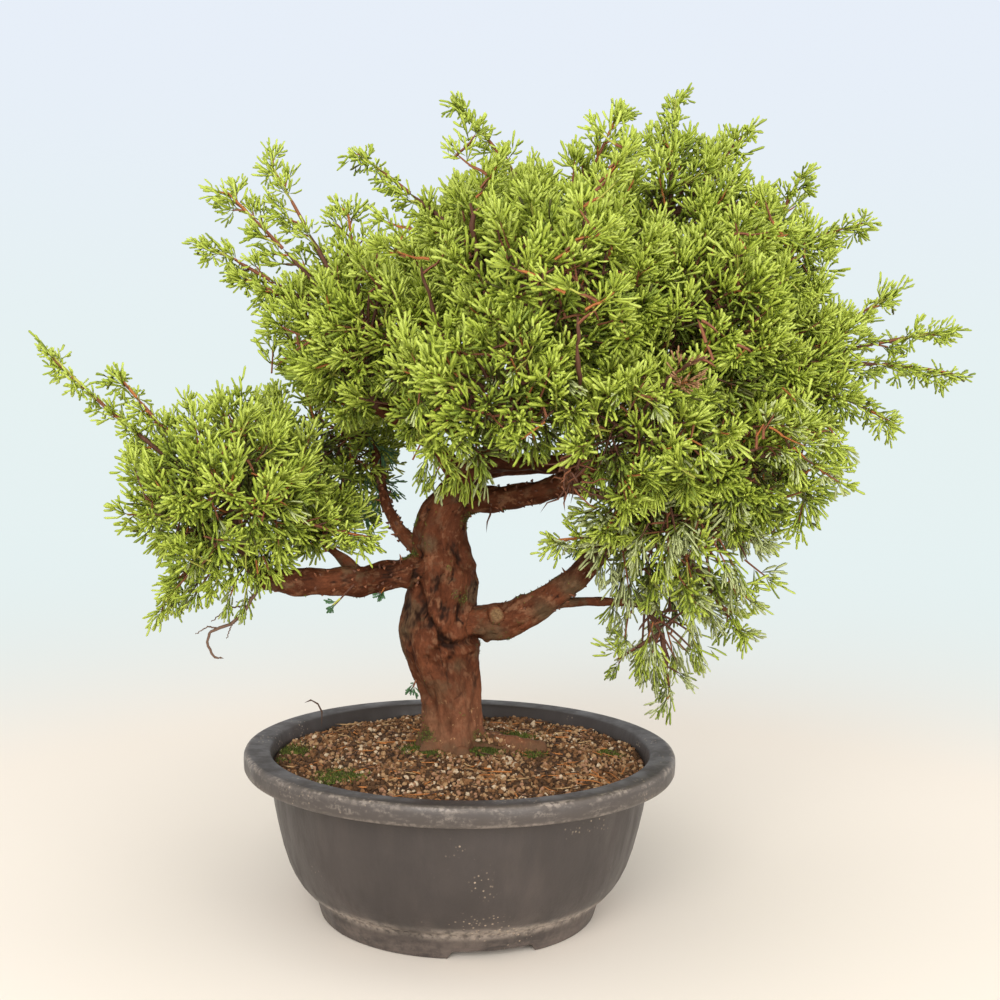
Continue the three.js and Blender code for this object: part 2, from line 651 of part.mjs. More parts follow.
// A lumpy solid heart for a dense mass, held inside the mass's own space
function coreGeometry(mass) {
  const ball = new THREE.IcosahedronGeometry(1, 0).deleteAttribute('normal').deleteAttribute('uv');
  const geometry = mergeVertices(ball, 1e-4);
  const place = geometry.attributes.position;
  for (let i = 0; i < place.count; i += 1) {
    const direction = new THREE.Vector3().fromBufferAttribute(place, i);
    const share = coreShare(mass, direction, mass.core * (1 + coreLumps * Math.sin(i * goldenAngle)));
    place.setXYZ(i, ...pointIn(mass, direction, share));
  }
  return geometry;
}

function makeMass(mass, roomy) {
  const random = seededRandom(mass.seed);
  const pieces = [];
  const limb = limbLines.get(mass.from);
  const limbTip = limb.points.at(-1);
  const arriving = limbTip.clone().sub(limb.points.at(-2)).normalize();
  const root = limbTip.clone().addScaledVector(arriving, seatGap);
  const heart = root.clone().lerp(vec(mass.centre), stemHeartShare);
  const bend = root.clone().addScaledVector(arriving, stemBend);
  const stem = new THREE.QuadraticBezierCurve3(root, bend, heart);
  const stemRadius = limb.radii.at(-1) * 0.9;
  const stemRadiusAt = (ring) => stemRadius * (1 - ring * stemTaper);
  let solid = solidOf(tube(stem.getPoints(stemSteps), stemSides, stemRadiusAt, arriving));
  if (mass.core > 0) {
    solid = solid.add(solidOf(coreGeometry(mass)));
    addSpraysOnCore(mass, pieces, random);
  } else {
    addTwigs(mass, pieces, stem, random);
  }
  for (const leader of mass.leaders) {
    const tip = vec(leader.tip);
    const rise = leader.bow * heart.distanceTo(tip);
    const middle = heart.clone().lerp(tip, 0.55).addScaledVector(up, rise);
    addShoot(mass, pieces, [heart, middle, tip], leader.spray, random);
  }
  for (const piece of pieces) solid = solid.add(solidOf(piece));
  for (const space of roomy.values()) solid = solid.subtract(space);
  return mainBody(solid);
}

function named(name, geometry, colour, roughness) {
  const material = new THREE.MeshStandardMaterial({ color: colour, roughness, metalness: 0 });
  const mesh = new THREE.Mesh(geometry, material);
  mesh.name = name;
  return mesh;
}

const tree = new THREE.Group();
tree.name = 'juniper_bonsai';

const potGroup = new THREE.Group();
potGroup.add(named('pot', makePot(), colours.pot, 0.55));
potGroup.add(named('soil', makeSoil(), colours.soil, 0.95));
tree.add(potGroup);

const wood = new THREE.Group();
const { solids, roomy } = growBoughs();
for (const [name, solid] of solids) wood.add(named(name, geometryOf(solid), colours.bark, 0.85));
wood.add(named('dead_twig_left', geometryOf(makeDeadTwig(roomy)), colours.deadWood, 0.9));
tree.add(wood);

const foliage = new THREE.Group();
for (const mass of masses) {
  const colour = mass.name.includes('back') ? colours.backFoliage : colours.foliage;
  foliage.add(named(mass.name, geometryOf(makeMass(mass, roomy)), colour, 0.75));
}
tree.add(foliage);

const box = new THREE.Box3().setFromObject(tree);
const middle = box.getCenter(new THREE.Vector3());
tree.position.set(-middle.x, -middle.y, 0);

export default tree;
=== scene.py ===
import math
import bpy
import numpy as np
from mathutils import Matrix, Vector, noise


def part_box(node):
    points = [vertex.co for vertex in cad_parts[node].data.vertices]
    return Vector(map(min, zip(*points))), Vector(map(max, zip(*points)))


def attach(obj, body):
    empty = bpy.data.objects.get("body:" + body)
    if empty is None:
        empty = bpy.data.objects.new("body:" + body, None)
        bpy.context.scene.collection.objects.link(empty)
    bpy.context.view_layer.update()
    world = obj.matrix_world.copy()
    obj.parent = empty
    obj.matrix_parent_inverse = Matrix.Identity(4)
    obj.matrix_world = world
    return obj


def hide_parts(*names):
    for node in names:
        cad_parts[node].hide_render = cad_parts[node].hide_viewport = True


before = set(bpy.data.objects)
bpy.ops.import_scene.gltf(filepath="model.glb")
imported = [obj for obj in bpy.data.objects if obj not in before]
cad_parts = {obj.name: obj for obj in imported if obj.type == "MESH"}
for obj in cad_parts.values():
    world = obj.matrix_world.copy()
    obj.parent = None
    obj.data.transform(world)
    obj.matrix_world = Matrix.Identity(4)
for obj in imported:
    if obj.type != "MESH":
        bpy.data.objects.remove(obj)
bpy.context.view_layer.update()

mm = 0.001
up = np.array([0, 0, 1.0])
scene = bpy.context.scene

# Sizes below are millimetres from the pot's axis; onAxis moves them into the row's frame in metres
potLow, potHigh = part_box("pot")
potAxis = np.array([(potLow.x + potHigh.x) / 2, (potLow.y + potHigh.y) / 2, 0.0])


def onAxis(points):
    return np.asarray(points, float) * mm + potAxis


def unit(vectors):
    lengths = np.linalg.norm(vectors, axis=-1, keepdims=True)
    return vectors / np.maximum(lengths, 1e-9)


# A line of points, each moved towards the middle of its neighbours
def softened(line, rounds=1):
    for _ in range(rounds):
        line[1:-1] = (line[:-2] + 2 * line[1:-1] + line[2:]) / 4
    return line


def smooth(low, high, value):
    share = np.clip((value - low) / (high - low), 0, 1)
    return share * share * (3 - 2 * share)


def deselect():
    if bpy.context.object and bpy.context.object.mode != "OBJECT":
        bpy.ops.object.mode_set(mode="OBJECT")
    bpy.ops.object.select_all(action="DESELECT")


def pick(piece):
    deselect()
    piece.select_set(True)
    bpy.context.view_layer.objects.active = piece


def applyPlace(piece):
    pick(piece)
    bpy.ops.object.transform_apply(location=True, rotation=True, scale=True)


def applyModifier(piece, kind, **settings):
    pick(piece)
    modifier = piece.modifiers.new(kind.lower(), kind)
    for name, value in settings.items():
        setattr(modifier, name, value)
    bpy.ops.object.modifier_apply(modifier=modifier.name)


# A mesh straight from arrays of corners and triangles, with a material slot for each triangle
def meshFrom(name, corners, triangles, materials, slots=None, softShade=True):
    mesh = bpy.data.meshes.new(name)
    mesh.vertices.add(len(corners))
    mesh.vertices.foreach_set("co", np.asarray(corners, np.float32).ravel())
    mesh.loops.add(len(triangles) * 3)
    mesh.loops.foreach_set("vertex_index", np.asarray(triangles, np.int32).ravel())
    mesh.polygons.add(len(triangles))
    mesh.polygons.foreach_set("loop_start", np.arange(0, len(triangles) * 3, 3, dtype=np.int32))
    if slots is not None:
        mesh.polygons.foreach_set("material_index", np.asarray(slots, np.int32))
    mesh.polygons.foreach_set("use_smooth", np.full(len(triangles), softShade))
    mesh.update(calc_edges=True)
    for material in materials:
        mesh.materials.append(material)
    piece = bpy.data.objects.new(name, mesh)
    scene.collection.objects.link(piece)
    return piece


# The same triangles for each of many copies of a few corners
def repeatedFaces(faces, count, corners):
    return (np.asarray(faces)[None] + (np.arange(count) * corners)[:, None, None]).reshape(-1, 3)


# Several sets of corners and triangles as one
def joined(parts):
    offsets = np.cumsum([0] + [len(part[0]) for part in parts])
    triangles = [part[1] + offset for part, offset in zip(parts, offsets)]
    return np.concatenate([part[0] for part in parts]), np.concatenate(triangles)


# The way of each line as a whole, and a way well aside of it
def wholeAndAside(lines):
    whole = unit(lines[:, -1] - lines[:, 0])
    return whole, np.where(np.abs(whole[:, 2:3]) < 0.85, [[0.0, 0.0, 1.0]], [[1.0, 0.0, 0.0]])


def ringOf(across, other, sides):
    angles = np.arange(sides) / sides * 2 * np.pi
    return across[..., None, :] * np.cos(angles)[:, None] + other[..., None, :] * np.sin(angles)[:, None]


# Tapering tubes with a pointed end: lines is (count, points, 3) and its last point is the tip
def pointedTubes(lines, radii, sides=3):
    lines = np.asarray(lines, float)
    count, points, _ = lines.shape
    rings = points - 1
    along = unit(lines[:, 1:] - lines[:, :-1])
    across = unit(np.cross(along, wholeAndAside(lines)[1][:, None, :]))
    ring = ringOf(across, np.cross(along, across), sides)
    rows = lines[:, :-1, None, :] + ring * np.asarray(radii)[:, :rings, None, None]
    corners = np.concatenate([rows.reshape(count, rings * sides, 3), lines[:, -1:, :]], axis=1)
    faces = []
    for level in range(rings):
        for side in range(sides):
            a = level * sides + side
            b = level * sides + (side + 1) % sides
            if level < rings - 1:
                faces += [(a, b, b + sides), (a, b + sides, a + sides)]
            else:
                faces.append((a, b, rings * sides))
    return corners.reshape(-1, 3), repeatedFaces(faces, count, corners.shape[1]), len(faces)


# Fingers of foliage, pointed at the foot, bent in the middle and blunt at the end; lines is (count, 4, 3)
def fingerTubes(lines, radii):
    whole, aside = wholeAndAside(lines)
    across = unit(np.cross(whole, aside))
    ring = ringOf(across, np.cross(whole, across), 3)
    low = lines[:, 1, None] + ring * radii[:, :1, None]
    high = lines[:, 2, None] + ring * radii[:, 1:, None]
    corners = np.concatenate([lines[:, :1], low, high, lines[:, -1:]], axis=1)
    faces = [(2, 1, 0), (3, 2, 0), (1, 3, 0), (1, 2, 5), (1, 5, 4), (2, 3, 6), (2, 6, 5), (3, 1, 4),
             (3, 4, 6), (4, 5, 7), (5, 6, 7), (6, 4, 7)]
    return corners.reshape(-1, 3), repeatedFaces(faces, len(lines), 8), len(faces)


# Materials
def newMaterial(name, roughness, specular):
    material = bpy.data.materials.new(name)
    material.use_nodes = True
    shader = material.node_tree.nodes["Principled BSDF"]
    shader.inputs["Roughness"].default_value = roughness
    shader.inputs["Specular IOR Level"].default_value = specular
    return material, material.node_tree, shader


def plainMaterial(name, colour, roughness, specular=0.35):
    material, _, shader = newMaterial(name, roughness, specular)
    shader.inputs["Base Color"].default_value = (*colour, 1)
    return material


def plainMaterials(prefix, tones, roughness, specular=0.35):
    return [plainMaterial(prefix + name, colour, roughness, specular) for name, colour in tones.items()]


def addNode(tree, kind, sockets=None, **settings):
    made = tree.nodes.new(kind)
    for name, value in settings.items():
        setattr(made, name, value)
    for name, value in (sockets or {}).items():
        socket = made.inputs[name]
        if isinstance(value, bpy.types.NodeSocket):
            tree.links.new(value, socket)
        else:
            socket.default_value = value
    return made


def mathNode(tree, operation, first, second=0.0):
    return addNode(tree, "ShaderNodeMath", {0: first, 1: second}, operation=operation).outputs[0]


def product(tree, *values):
    result = values[0]
    for value in values[1:]:
        result = mathNode(tree, "MULTIPLY", result, value)
    return result


def mixColours(tree, share, first, second, blend="MIX"):
    first, second = ((*value, 1) if isinstance(value, tuple) else value for value in (first, second))
    made = addNode(tree, "ShaderNodeMix", {0: share, 6: first, 7: second}, data_type="RGBA", blend_type=blend)
    return made.outputs[2]


# Another colour where the masks' product is high
def tint(tree, colour, other, *masks):
    return mixColours(tree, product(tree, *masks), colour, other)


def band(tree, value, low, high, start=0.0, end=1.0):
    return addNode(tree, "ShaderNodeMapRange", {
        "Value": value, "From Min": low, "From Max": high, "To Min": start, "To Max": end},
        interpolation_type="SMOOTHSTEP").outputs["Result"]


def objectPlace(tree):
    return addNode(tree, "ShaderNodeTexCoord").outputs["Object"]


def heightOf(tree, vector):
    return addNode(tree, "ShaderNodeSeparateXYZ", {"Vector": vector}).outputs["Z"]


def vectorLength(tree, vector):
    return addNode(tree, "ShaderNodeVectorMath", {0: vector}, operation="LENGTH").outputs["Value"]


def stretched(tree, vector, upScale):
    return addNode(tree, "ShaderNodeMapping", {"Vector": vector, "Scale": (1, 1, upScale)}).outputs["Vector"]


def cloudNoise(tree, vector, scale, detail=2.0, roughness=0.5):
    return addNode(tree, "ShaderNodeTexNoise", {
        "Vector": vector, "Scale": scale, "Detail": detail, "Roughness": roughness}).outputs["Fac"]


def addBump(tree, shader, height, strength, distance, below=None):
    bump = addNode(tree, "ShaderNodeBump", {"Height": height, "Strength": strength, "Distance": distance})
    if below:
        tree.links.new(below, bump.inputs["Normal"])
    tree.links.new(bump.outputs["Normal"], shader.inputs["Normal"])
    return bump.outputs["Normal"]


# Soft-edged patches of noise, used for dust, wear, moss and stains
def makePatchGroup():
    group = bpy.data.node_groups.new("wornPatches", "ShaderNodeTree")
    for name, kind in (("Vector", "NodeSocketVector"), ("Scale", "NodeSocketFloat"),
                       ("From", "NodeSocketFloat"), ("To", "NodeSocketFloat")):
        group.interface.new_socket(name, in_out="INPUT", socket_type=kind)
    group.interface.new_socket("Mask", in_out="OUTPUT", socket_type="NodeSocketFloat")
    given = group.nodes.new("NodeGroupInput").outputs
    cloud = cloudNoise(group, given["Vector"], given["Scale"], 5.0, 0.62)
    addNode(group, "NodeGroupOutput", {"Mask": band(group, cloud, given["From"], given["To"])})
    return group


patchGroup = makePatchGroup()


def patches(tree, vector, scale, low, high):
    return addNode(tree, "ShaderNodeGroup", {"Vector": vector, "Scale": scale, "From": low, "To": high},
                   node_tree=patchGroup).outputs["Mask"]


# Pot
pot = {
    "segments": 192,
    "outer": [(75.5, 0), (75.9, 1.2), (77.6, 7.0), (79.3, 12.0), (80.1, 13.6), (81.0, 14.6), (82.9, 15.3),
              (84.9, 16.4), (88.0, 20.2), (90.8, 24.8), (93.2, 30.0), (96.2, 39.0), (98.9, 50.0),
              (101.0, 60.0), (102.5, 70.0), (103.3, 78.2)],
    "rim": [(114.4, 78.3), (116.4, 79.0), (117.3, 80.6), (117.5, 84.0), (117.4, 87.0), (116.7, 88.6),
            (115.2, 89.3), (109.5, 89.2), (105.4, 89.1), (104.0, 88.7), (103.3, 87.6)],
    "inner": [(101.6, 78.0), (98.5, 60.0), (87.0, 24.0), (76.0, 12.0)],
    "recess": [(64.0, 4.0), (63.5, 0.3), (64.2, 0.0)],
    "notchFirst": 284, "notchCount": 3, "notchHalf": 22.0, "notchRise": 3.5,
    "notchBelow": 1.3, "notchInner": 60, "edge": 0.35, "edgeAngle": 38,
    "wallColour": (0.042, 0.033, 0.029), "dustColour": (0.15, 0.115, 0.095),
    # The rim colour is a painted highlight; the worn colour is rubbed wear and also the painted highlight on
    # the rim's edges
    "rimHighlightColour": (0.075, 0.060, 0.051), "wornAndHighlightColour": (0.40, 0.33, 0.27), "speckColour": (0.5, 0.38, 0.27),
}


def makePotMaterial():
    material, tree, shader = newMaterial("scuffed grey plastic", 0.46, 0.45)
    centred = addNode(tree, "ShaderNodeMapping", {
        "Vector": objectPlace(tree), "Location": (-potAxis[0], -potAxis[1], 0)}).outputs["Vector"]
    height = heightOf(tree, centred)
    flat = addNode(tree, "ShaderNodeVectorMath", {0: centred, 1: (1, 1, 0)}, operation="MULTIPLY").outputs[0]
    radius = vectorLength(tree, flat)
    ringed, smeared = stretched(tree, centred, 4), stretched(tree, centred, 0.18)

    def marks(scale, low, high, vector=centred):
        return patches(tree, vector, scale, low, high)

    def between(low, high, value=height):
        return band(tree, value, low, high)

    wall, dust, wornAndHighlight = pot["wallColour"], pot["dustColour"], pot["wornAndHighlightColour"]
    colour = mixColours(tree, marks(22, 0.35, 0.75), wall, tuple(1.35 * c for c in wall))
    colour = tint(tree, colour, dust, marks(60, 0.5, 0.78, smeared), 0.12)
    colour = tint(tree, colour, dust, between(0.034, 0.012), marks(45, 0.42, 0.7), 0.5)

    # The rim is painted paler as a highlight, and its edges above and below are painted pale, partly as
    # rubbed wear and partly as painted highlight
    rim = product(tree, between(0.0772, 0.0790), between(0.1150, 0.1168, radius))
    colour = tint(tree, colour, pot["rimHighlightColour"], rim, 0.75)
    lipWearAndHighlight = mathNode(tree, "MAXIMUM", product(tree, between(0.0858, 0.0885), between(0.1140, 0.1160, radius)),
                   product(tree, between(0.0815, 0.0785), between(0.1160, 0.1172, radius)))
    scuffs = product(tree, marks(40, 0.38, 0.62, ringed), marks(420, 0.38, 0.6))
    mottled = product(tree, marks(70, 0.44, 0.66, ringed), marks(500, 0.42, 0.62))
    colour = tint(tree, colour, wornAndHighlight, rim, mottled, 0.3)
    colour = tint(tree, colour, wornAndHighlight, lipWearAndHighlight, band(tree, scuffs, 0, 1, 0.1, 0.65))

    # The moulding line above the foot is worn pale in stretches
    fromLine = mathNode(tree, "ABSOLUTE", mathNode(tree, "SUBTRACT", height, 0.0150))
    wornStretches = product(tree, marks(14, 0.30, 0.5), marks(330, 0.28, 0.62))
    colour = tint(tree, colour, wornAndHighlight, between(0.0062, 0.0008, fromLine), wornStretches, 0.9)
    colour = tint(tree, colour, dust, between(0.0135, 0.004), marks(60, 0.36, 0.6, ringed),
                  marks(380, 0.3, 0.6), 0.65)

    # Mineral specks from the soil
    cells = addNode(tree, "ShaderNodeTexVoronoi", {"Vector": centred, "Scale": 430.0}).outputs["Distance"]
    colour = tint(tree, colour, pot["speckColour"], between(0.30, 0.14, cells), marks(34, 0.55, 0.68), 0.8)
    tree.links.new(colour, shader.inputs["Base Color"])
    rough = mixColours(tree, marks(90, 0.35, 0.7, smeared), (0.40, 0.40, 0.40), (0.62, 0.62, 0.62))
    tree.links.new(rough, shader.inputs["Roughness"])
    addBump(tree, shader, cloudNoise(tree, centred, 700.0, 3.0), 0.12, 0.0008)
    return material


def makePot():
    outline = pot["recess"] + pot["outer"] + pot["rim"] + pot["inner"]
    centre = (potAxis[0], potAxis[1])
    deselect()
    bpy.ops.mesh.primitive_circle_add(vertices=pot["segments"], radius=outline[0][0] * mm,
                                      location=(*centre, outline[0][1] * mm))
    piece = bpy.context.object
    piece.name = "pot_bowl"
    bpy.ops.object.mode_set(mode="EDIT")
    bpy.ops.mesh.edge_face_add()
    for (r0, z0), (r1, z1) in zip(outline, outline[1:]):
        bpy.ops.mesh.extrude_region_move(TRANSFORM_OT_translate={"value": (0, 0, (z1 - z0) * mm)})
        bpy.ops.transform.resize(value=(r1 / r0, r1 / r0, 1), center_override=(*centre, z1 * mm))
    bpy.ops.object.mode_set(mode="OBJECT")
    applyPlace(piece)
    mesh = piece.data

    # Lift the foot's underside at each notch
    for vertex in mesh.vertices:
        x, y = (vertex.co.x - centre[0]) / mm, (vertex.co.y - centre[1]) / mm
        if vertex.co.z > pot["notchBelow"] * mm or math.hypot(x, y) < pot["notchInner"]:
            continue
        for i in range(pot["notchCount"]):
            angle = math.radians(pot["notchFirst"] + i * 360 / pot["notchCount"])
            sideways = -x * math.sin(angle) + y * math.cos(angle)
            outwards = x * math.cos(angle) + y * math.sin(angle)
            if outwards > 0 and abs(sideways) < pot["notchHalf"]:
                vertex.co.z += pot["notchRise"] * mm
    pick(piece)
    bpy.ops.object.mode_set(mode="EDIT")
    bpy.ops.mesh.select_all(action="SELECT")
    bpy.ops.mesh.normals_make_consistent(inside=False)
    bpy.ops.object.mode_set(mode="OBJECT")
    applyModifier(piece, "BEVEL", width=pot["edge"] * mm, segments=2, limit_method="ANGLE",
                  angle_limit=math.radians(pot["edgeAngle"]))
    pick(piece)
    bpy.ops.object.shade_smooth_by_angle(angle=math.radians(pot["edgeAngle"]))
    piece.data.materials.append(makePotMaterial())
    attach(piece, "root")
    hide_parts("pot")
    print("pot done:", len(piece.data.polygons), "faces")


makePot()

# Soil
soil = {
    "edgeRadius": 101.6, "flatRadius": 62, "top": 85.0, "edgeTop": 82.0, "sunk": 0.7,
    "bottom": 74, "shoulder": 81, "rings": 46, "segments": 144, "trunkRoom": 14,
    "swell": 1.4, "wave": 62, "waveStart": (0.6, 1.9), "levelRoom": 20, "levelFade": 14, "rootTip": (44, 7),
    "bedTones": [(0.04, 0.02, 0.011), (0.13, 0.068, 0.034)], "bedPale": (0.18, 0.105, 0.058),
    "grains": 7600, "onRoot": 380, "grainSize": (0.6, 1.0), "grainShares": [0.25, 0.33, 0.20, 0.12, 0.10],
    "grainTones": {"tan": (0.38, 0.225, 0.11), "brown": (0.21, 0.10, 0.042), "dark": (0.085, 0.042, 0.019),
                   "pinkish": (0.34, 0.18, 0.10), "pale": (0.58, 0.44, 0.29)},
    "litter": 250, "litterLength": (5, 14), "litterThick": (0.3, 0.3), "litterShares": [0.4, 0.12, 0.48],
    "litterTones": {"orange": (0.46, 0.17, 0.045), "straw": (0.5, 0.31, 0.14), "dark": (0.09, 0.045, 0.025)},
    "mossThick": 0.4, "mossShares": [0.3, 0.45, 0.25],
    "mossTones": {"bright": (0.15, 0.19, 0.03), "green": (0.075, 0.095, 0.018), "olive": (0.08, 0.07, 0.018)},
    "seed": 5, "hookThick": 0.55,
    "hook": [(-82.3, 52, 84), (-82.3, 52, 94.1), (-84.7, 52, 98.8), (-88.8, 52, 101.1), (-92.9, 52, 99.3)],
    "moss": [((-62, -48), 11, 420), ((-94, 8), 8, 220), ((-22, 6), 8, 360), ((-17, -2), 6, 240),
             ((13, 2), 8, 380), ((84, 4), 6, 130), ((-100, -14), 6, 120), ((30, 34), 12, 220),
             ((40, -4), 7, 90)],
}
trunkFoot = np.array([-3.5, 14.0])
mossMaterials = plainMaterials("moss ", soil["mossTones"], 0.85, 0.2)


def soilHeight(x, y):
    slope = (soil["top"] - soil["edgeTop"]) * np.clip(
        (np.hypot(x, y) - soil["flatRadius"]) / (soil["edgeRadius"] - soil["flatRadius"]), 0, 1)
    run = np.array(soil["rootTip"]) - trunkFoot
    share = np.clip(((x - trunkFoot[0]) * run[0] + (y - trunkFoot[1]) * run[1]) / (run @ run), 0, 1)
    away = np.hypot(x - trunkFoot[0] - share * run[0], y - trunkFoot[1] - share * run[1])
    level = np.clip((away - soil["levelRoom"]) / soil["levelFade"], 0, 1)
    turn = 2 * np.pi / soil["wave"]
    rise = np.sin(turn * x + soil["waveStart"][0]) * np.sin(turn * y + soil["waveStart"][1])
    return soil["top"] - slope + soil["swell"] * level * rise


def makeSoilMaterial():
    material, tree, shader = newMaterial("damp soil", 0.95, 0.2)
    place = objectPlace(tree)
    colour = mixColours(tree, patches(tree, place, 260, 0.4, 0.62), *soil["bedTones"])
    colour = tint(tree, colour, soil["bedPale"], patches(tree, place, 60, 0.5, 0.7))
    tree.links.new(colour, shader.inputs["Base Color"])
    addBump(tree, shader, cloudNoise(tree, place, 420.0, 4.0), 0.9, 0.0015)
    return material


def makeSoilBed():
    centre = (potAxis[0], potAxis[1])
    bottom, shoulder = soil["bottom"] * mm, soil["shoulder"] * mm
    deselect()
    bpy.ops.mesh.primitive_circle_add(vertices=soil["segments"], radius=soil["edgeRadius"] * mm,
                                      location=(*centre, bottom))
    piece = bpy.context.object
    piece.name = "soil_bed"
    bpy.ops.object.mode_set(mode="EDIT")
    bpy.ops.mesh.edge_face_add()
    bpy.ops.mesh.extrude_region_move(TRANSFORM_OT_translate={"value": (0, 0, shoulder - bottom)})
    for left in range(soil["rings"], 1, -1):
        share = (left - 1) / left
        bpy.ops.mesh.extrude_region_move(TRANSFORM_OT_translate={"value": (0, 0, 0)})
        bpy.ops.transform.resize(value=(share, share, 1), center_override=(*centre, shoulder))
    bpy.ops.mesh.merge(type="CENTER")
    bpy.ops.mesh.select_all(action="SELECT")
    bpy.ops.mesh.normals_make_consistent(inside=False)
    bpy.ops.object.mode_set(mode="OBJECT")
    applyPlace(piece)
    corners = np.array([v.co for v in piece.data.vertices])
    top = corners[:, 2] > shoulder - mm
    flat = (corners[top] - potAxis) / mm
    corners[top, 2] = (soilHeight(flat[:, 0], flat[:, 1]) - soil["sunk"]) * mm
    piece.data.vertices.foreach_set("co", corners.astype(np.float32).ravel())
    pick(piece)
    bpy.ops.object.shade_smooth()
    piece.data.materials.append(makeSoilMaterial())
    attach(piece, "root")
    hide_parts("soil")


def spreadOnSoil(rng, count, margin):
    radius = (soil["edgeRadius"] - margin) * np.sqrt(rng.random(count))
    turn = rng.random(count) * 2 * np.pi
    x, y = radius * np.cos(turn), radius * np.sin(turn)
    keep = np.hypot(x - trunkFoot[0], y - trunkFoot[1]) > soil["trunkRoom"]
    return x[keep], y[keep]


def randomTurns(rng, count):
    q = unit(rng.normal(size=(count, 4)))
    w, x, y, z = q.T
    return np.stack([
        np.stack([1 - 2 * (y * y + z * z), 2 * (x * y - z * w), 2 * (x * z + y * w)], -1),
        np.stack([2 * (x * y + z * w), 1 - 2 * (x * x + z * z), 2 * (y * z - x * w)], -1),
        np.stack([2 * (x * z - y * w), 2 * (y * z + x * w), 1 - 2 * (x * x + y * y)], -1)], 1)


def makeSoilGrains():
    rng = np.random.default_rng(soil["seed"])
    x, y = spreadOnSoil(rng, soil["grains"], 1.5)
    z = soilHeight(x, y) - soil["sunk"]

    # Some soil lies on the root that runs to the right
    share, side = rng.random(soil["onRoot"]) ** 0.7, rng.uniform(-1, 1, soil["onRoot"])
    kept = rng.random(soil["onRoot"]) < 0.15 + 0.85 * np.maximum(np.abs(side), share)
    share, side = share[kept], side[kept]
    thick = 6.4 - 4.2 * share
    x = np.concatenate([x, 6 + 38 * share])
    y = np.concatenate([y, 11 - 4 * share + side * thick])
    z = np.concatenate([z, 88.2 - 3.9 * share + thick * np.sqrt(1 - side ** 2) * 0.95])
    count = len(x)
    golden = (1 + math.sqrt(5)) / 2
    ball = unit(np.array([(-1, golden, 0), (1, golden, 0), (-1, -golden, 0), (1, -golden, 0),
                          (0, -1, golden), (0, 1, golden), (0, -1, -golden), (0, 1, -golden),
                          (golden, 0, -1), (golden, 0, 1), (-golden, 0, -1), (-golden, 0, 1)], float))
    faces = [(0, 11, 5), (0, 5, 1), (0, 1, 7), (0, 7, 10), (0, 10, 11), (1, 5, 9), (5, 11, 4), (11, 10, 2),
             (10, 7, 6), (7, 1, 8), (3, 9, 4), (3, 4, 2), (3, 2, 6), (3, 6, 8), (3, 8, 9), (4, 9, 5),
             (2, 4, 11), (6, 2, 10), (8, 6, 7), (9, 8, 1)]
    small, more = soil["grainSize"]
    size = small + more * rng.random(count) ** 1.9
    lumps = ball[None] * (0.75 + 0.5 * rng.random((count, 12, 1)))
    lumps = lumps * (0.7 + 0.6 * rng.random((count, 1, 3))) * size[:, None, None]
    lumps = np.einsum("nij,nkj->nki", randomTurns(rng, count), lumps)
    lumps += np.stack([x, y, z + size * (0.05 + 0.45 * rng.random(count))], -1)[:, None]
    tone = rng.choice(5, count, p=soil["grainShares"])
    damp = np.array([noise.noise(Vector((a * 0.03, b * 0.03, 4))) for a, b in zip(x, y)])
    tone = np.where(rng.random(count) < 1.5 * damp + 0.12, rng.choice([1, 2], count), tone)
    piece = meshFrom("soil_grains", onAxis(lumps.reshape(-1, 3)), repeatedFaces(faces, count, len(ball)),
                     plainMaterials("grain ", soil["grainTones"], 0.9, 0.2), np.repeat(tone, len(faces)),
                     softShade=False)
    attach(piece, "root")


def makeLitter():
    rng = np.random.default_rng(soil["seed"] + 1)
    x, y = spreadOnSoil(rng, soil["litter"], 6)
    count = len(x)
    turn = rng.random(count) * 2 * np.pi
    short, more = soil["litterLength"]
    length = (short + more * rng.random(count) ** 1.6)[:, None]
    way = np.stack([np.cos(turn), np.sin(turn), 0.2 * (rng.random(count) - 0.4)], -1)
    start = np.stack([x, y, soilHeight(x, y) + 0.5], -1)
    aside = np.stack([-np.sin(turn), np.cos(turn), np.zeros(count)], -1)
    bend = aside * (rng.random((count, 1)) - 0.5) * 0.35
    middle = start + way * length * 0.5 + bend * length
    tip = start + way * length
    inside = np.hypot(tip[:, 0], tip[:, 1]) < soil["edgeRadius"] - 1
    lines = np.stack([start, middle, tip], 1)[inside]
    thin, more = soil["litterThick"]
    radii = np.repeat((thin + more * rng.random(len(lines)))[:, None], 2, 1)
    stalks = pointedTubes(lines, radii)
    tone = rng.choice(3, len(lines), p=soil["litterShares"])
    hook = pointedTubes([soil["hook"]], np.full((1, 5), soil["hookThick"]), 5)
    slots = np.concatenate([np.repeat(tone, stalks[2]), np.full(hook[2], 2)])
    corners, triangles = joined([stalks, hook])
    materials = plainMaterials("litter ", soil["litterTones"], 0.8)
    piece = meshFrom("soil_litter", onAxis(corners), triangles, materials, slots)
    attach(piece, "root")


def makeMossTufts(name, base, lean, length, rng):
    tip = base + unit(lean) * length[:, None]
    radii = np.full((len(base), 1), soil["mossThick"])
    corners, triangles, each = pointedTubes(np.stack([base, tip], 1), radii)
    tone = rng.choice(3, len(base), p=soil["mossShares"])
    piece = meshFrom(name, onAxis(corners), triangles, mossMaterials, np.repeat(tone, each))
    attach(piece, "root")


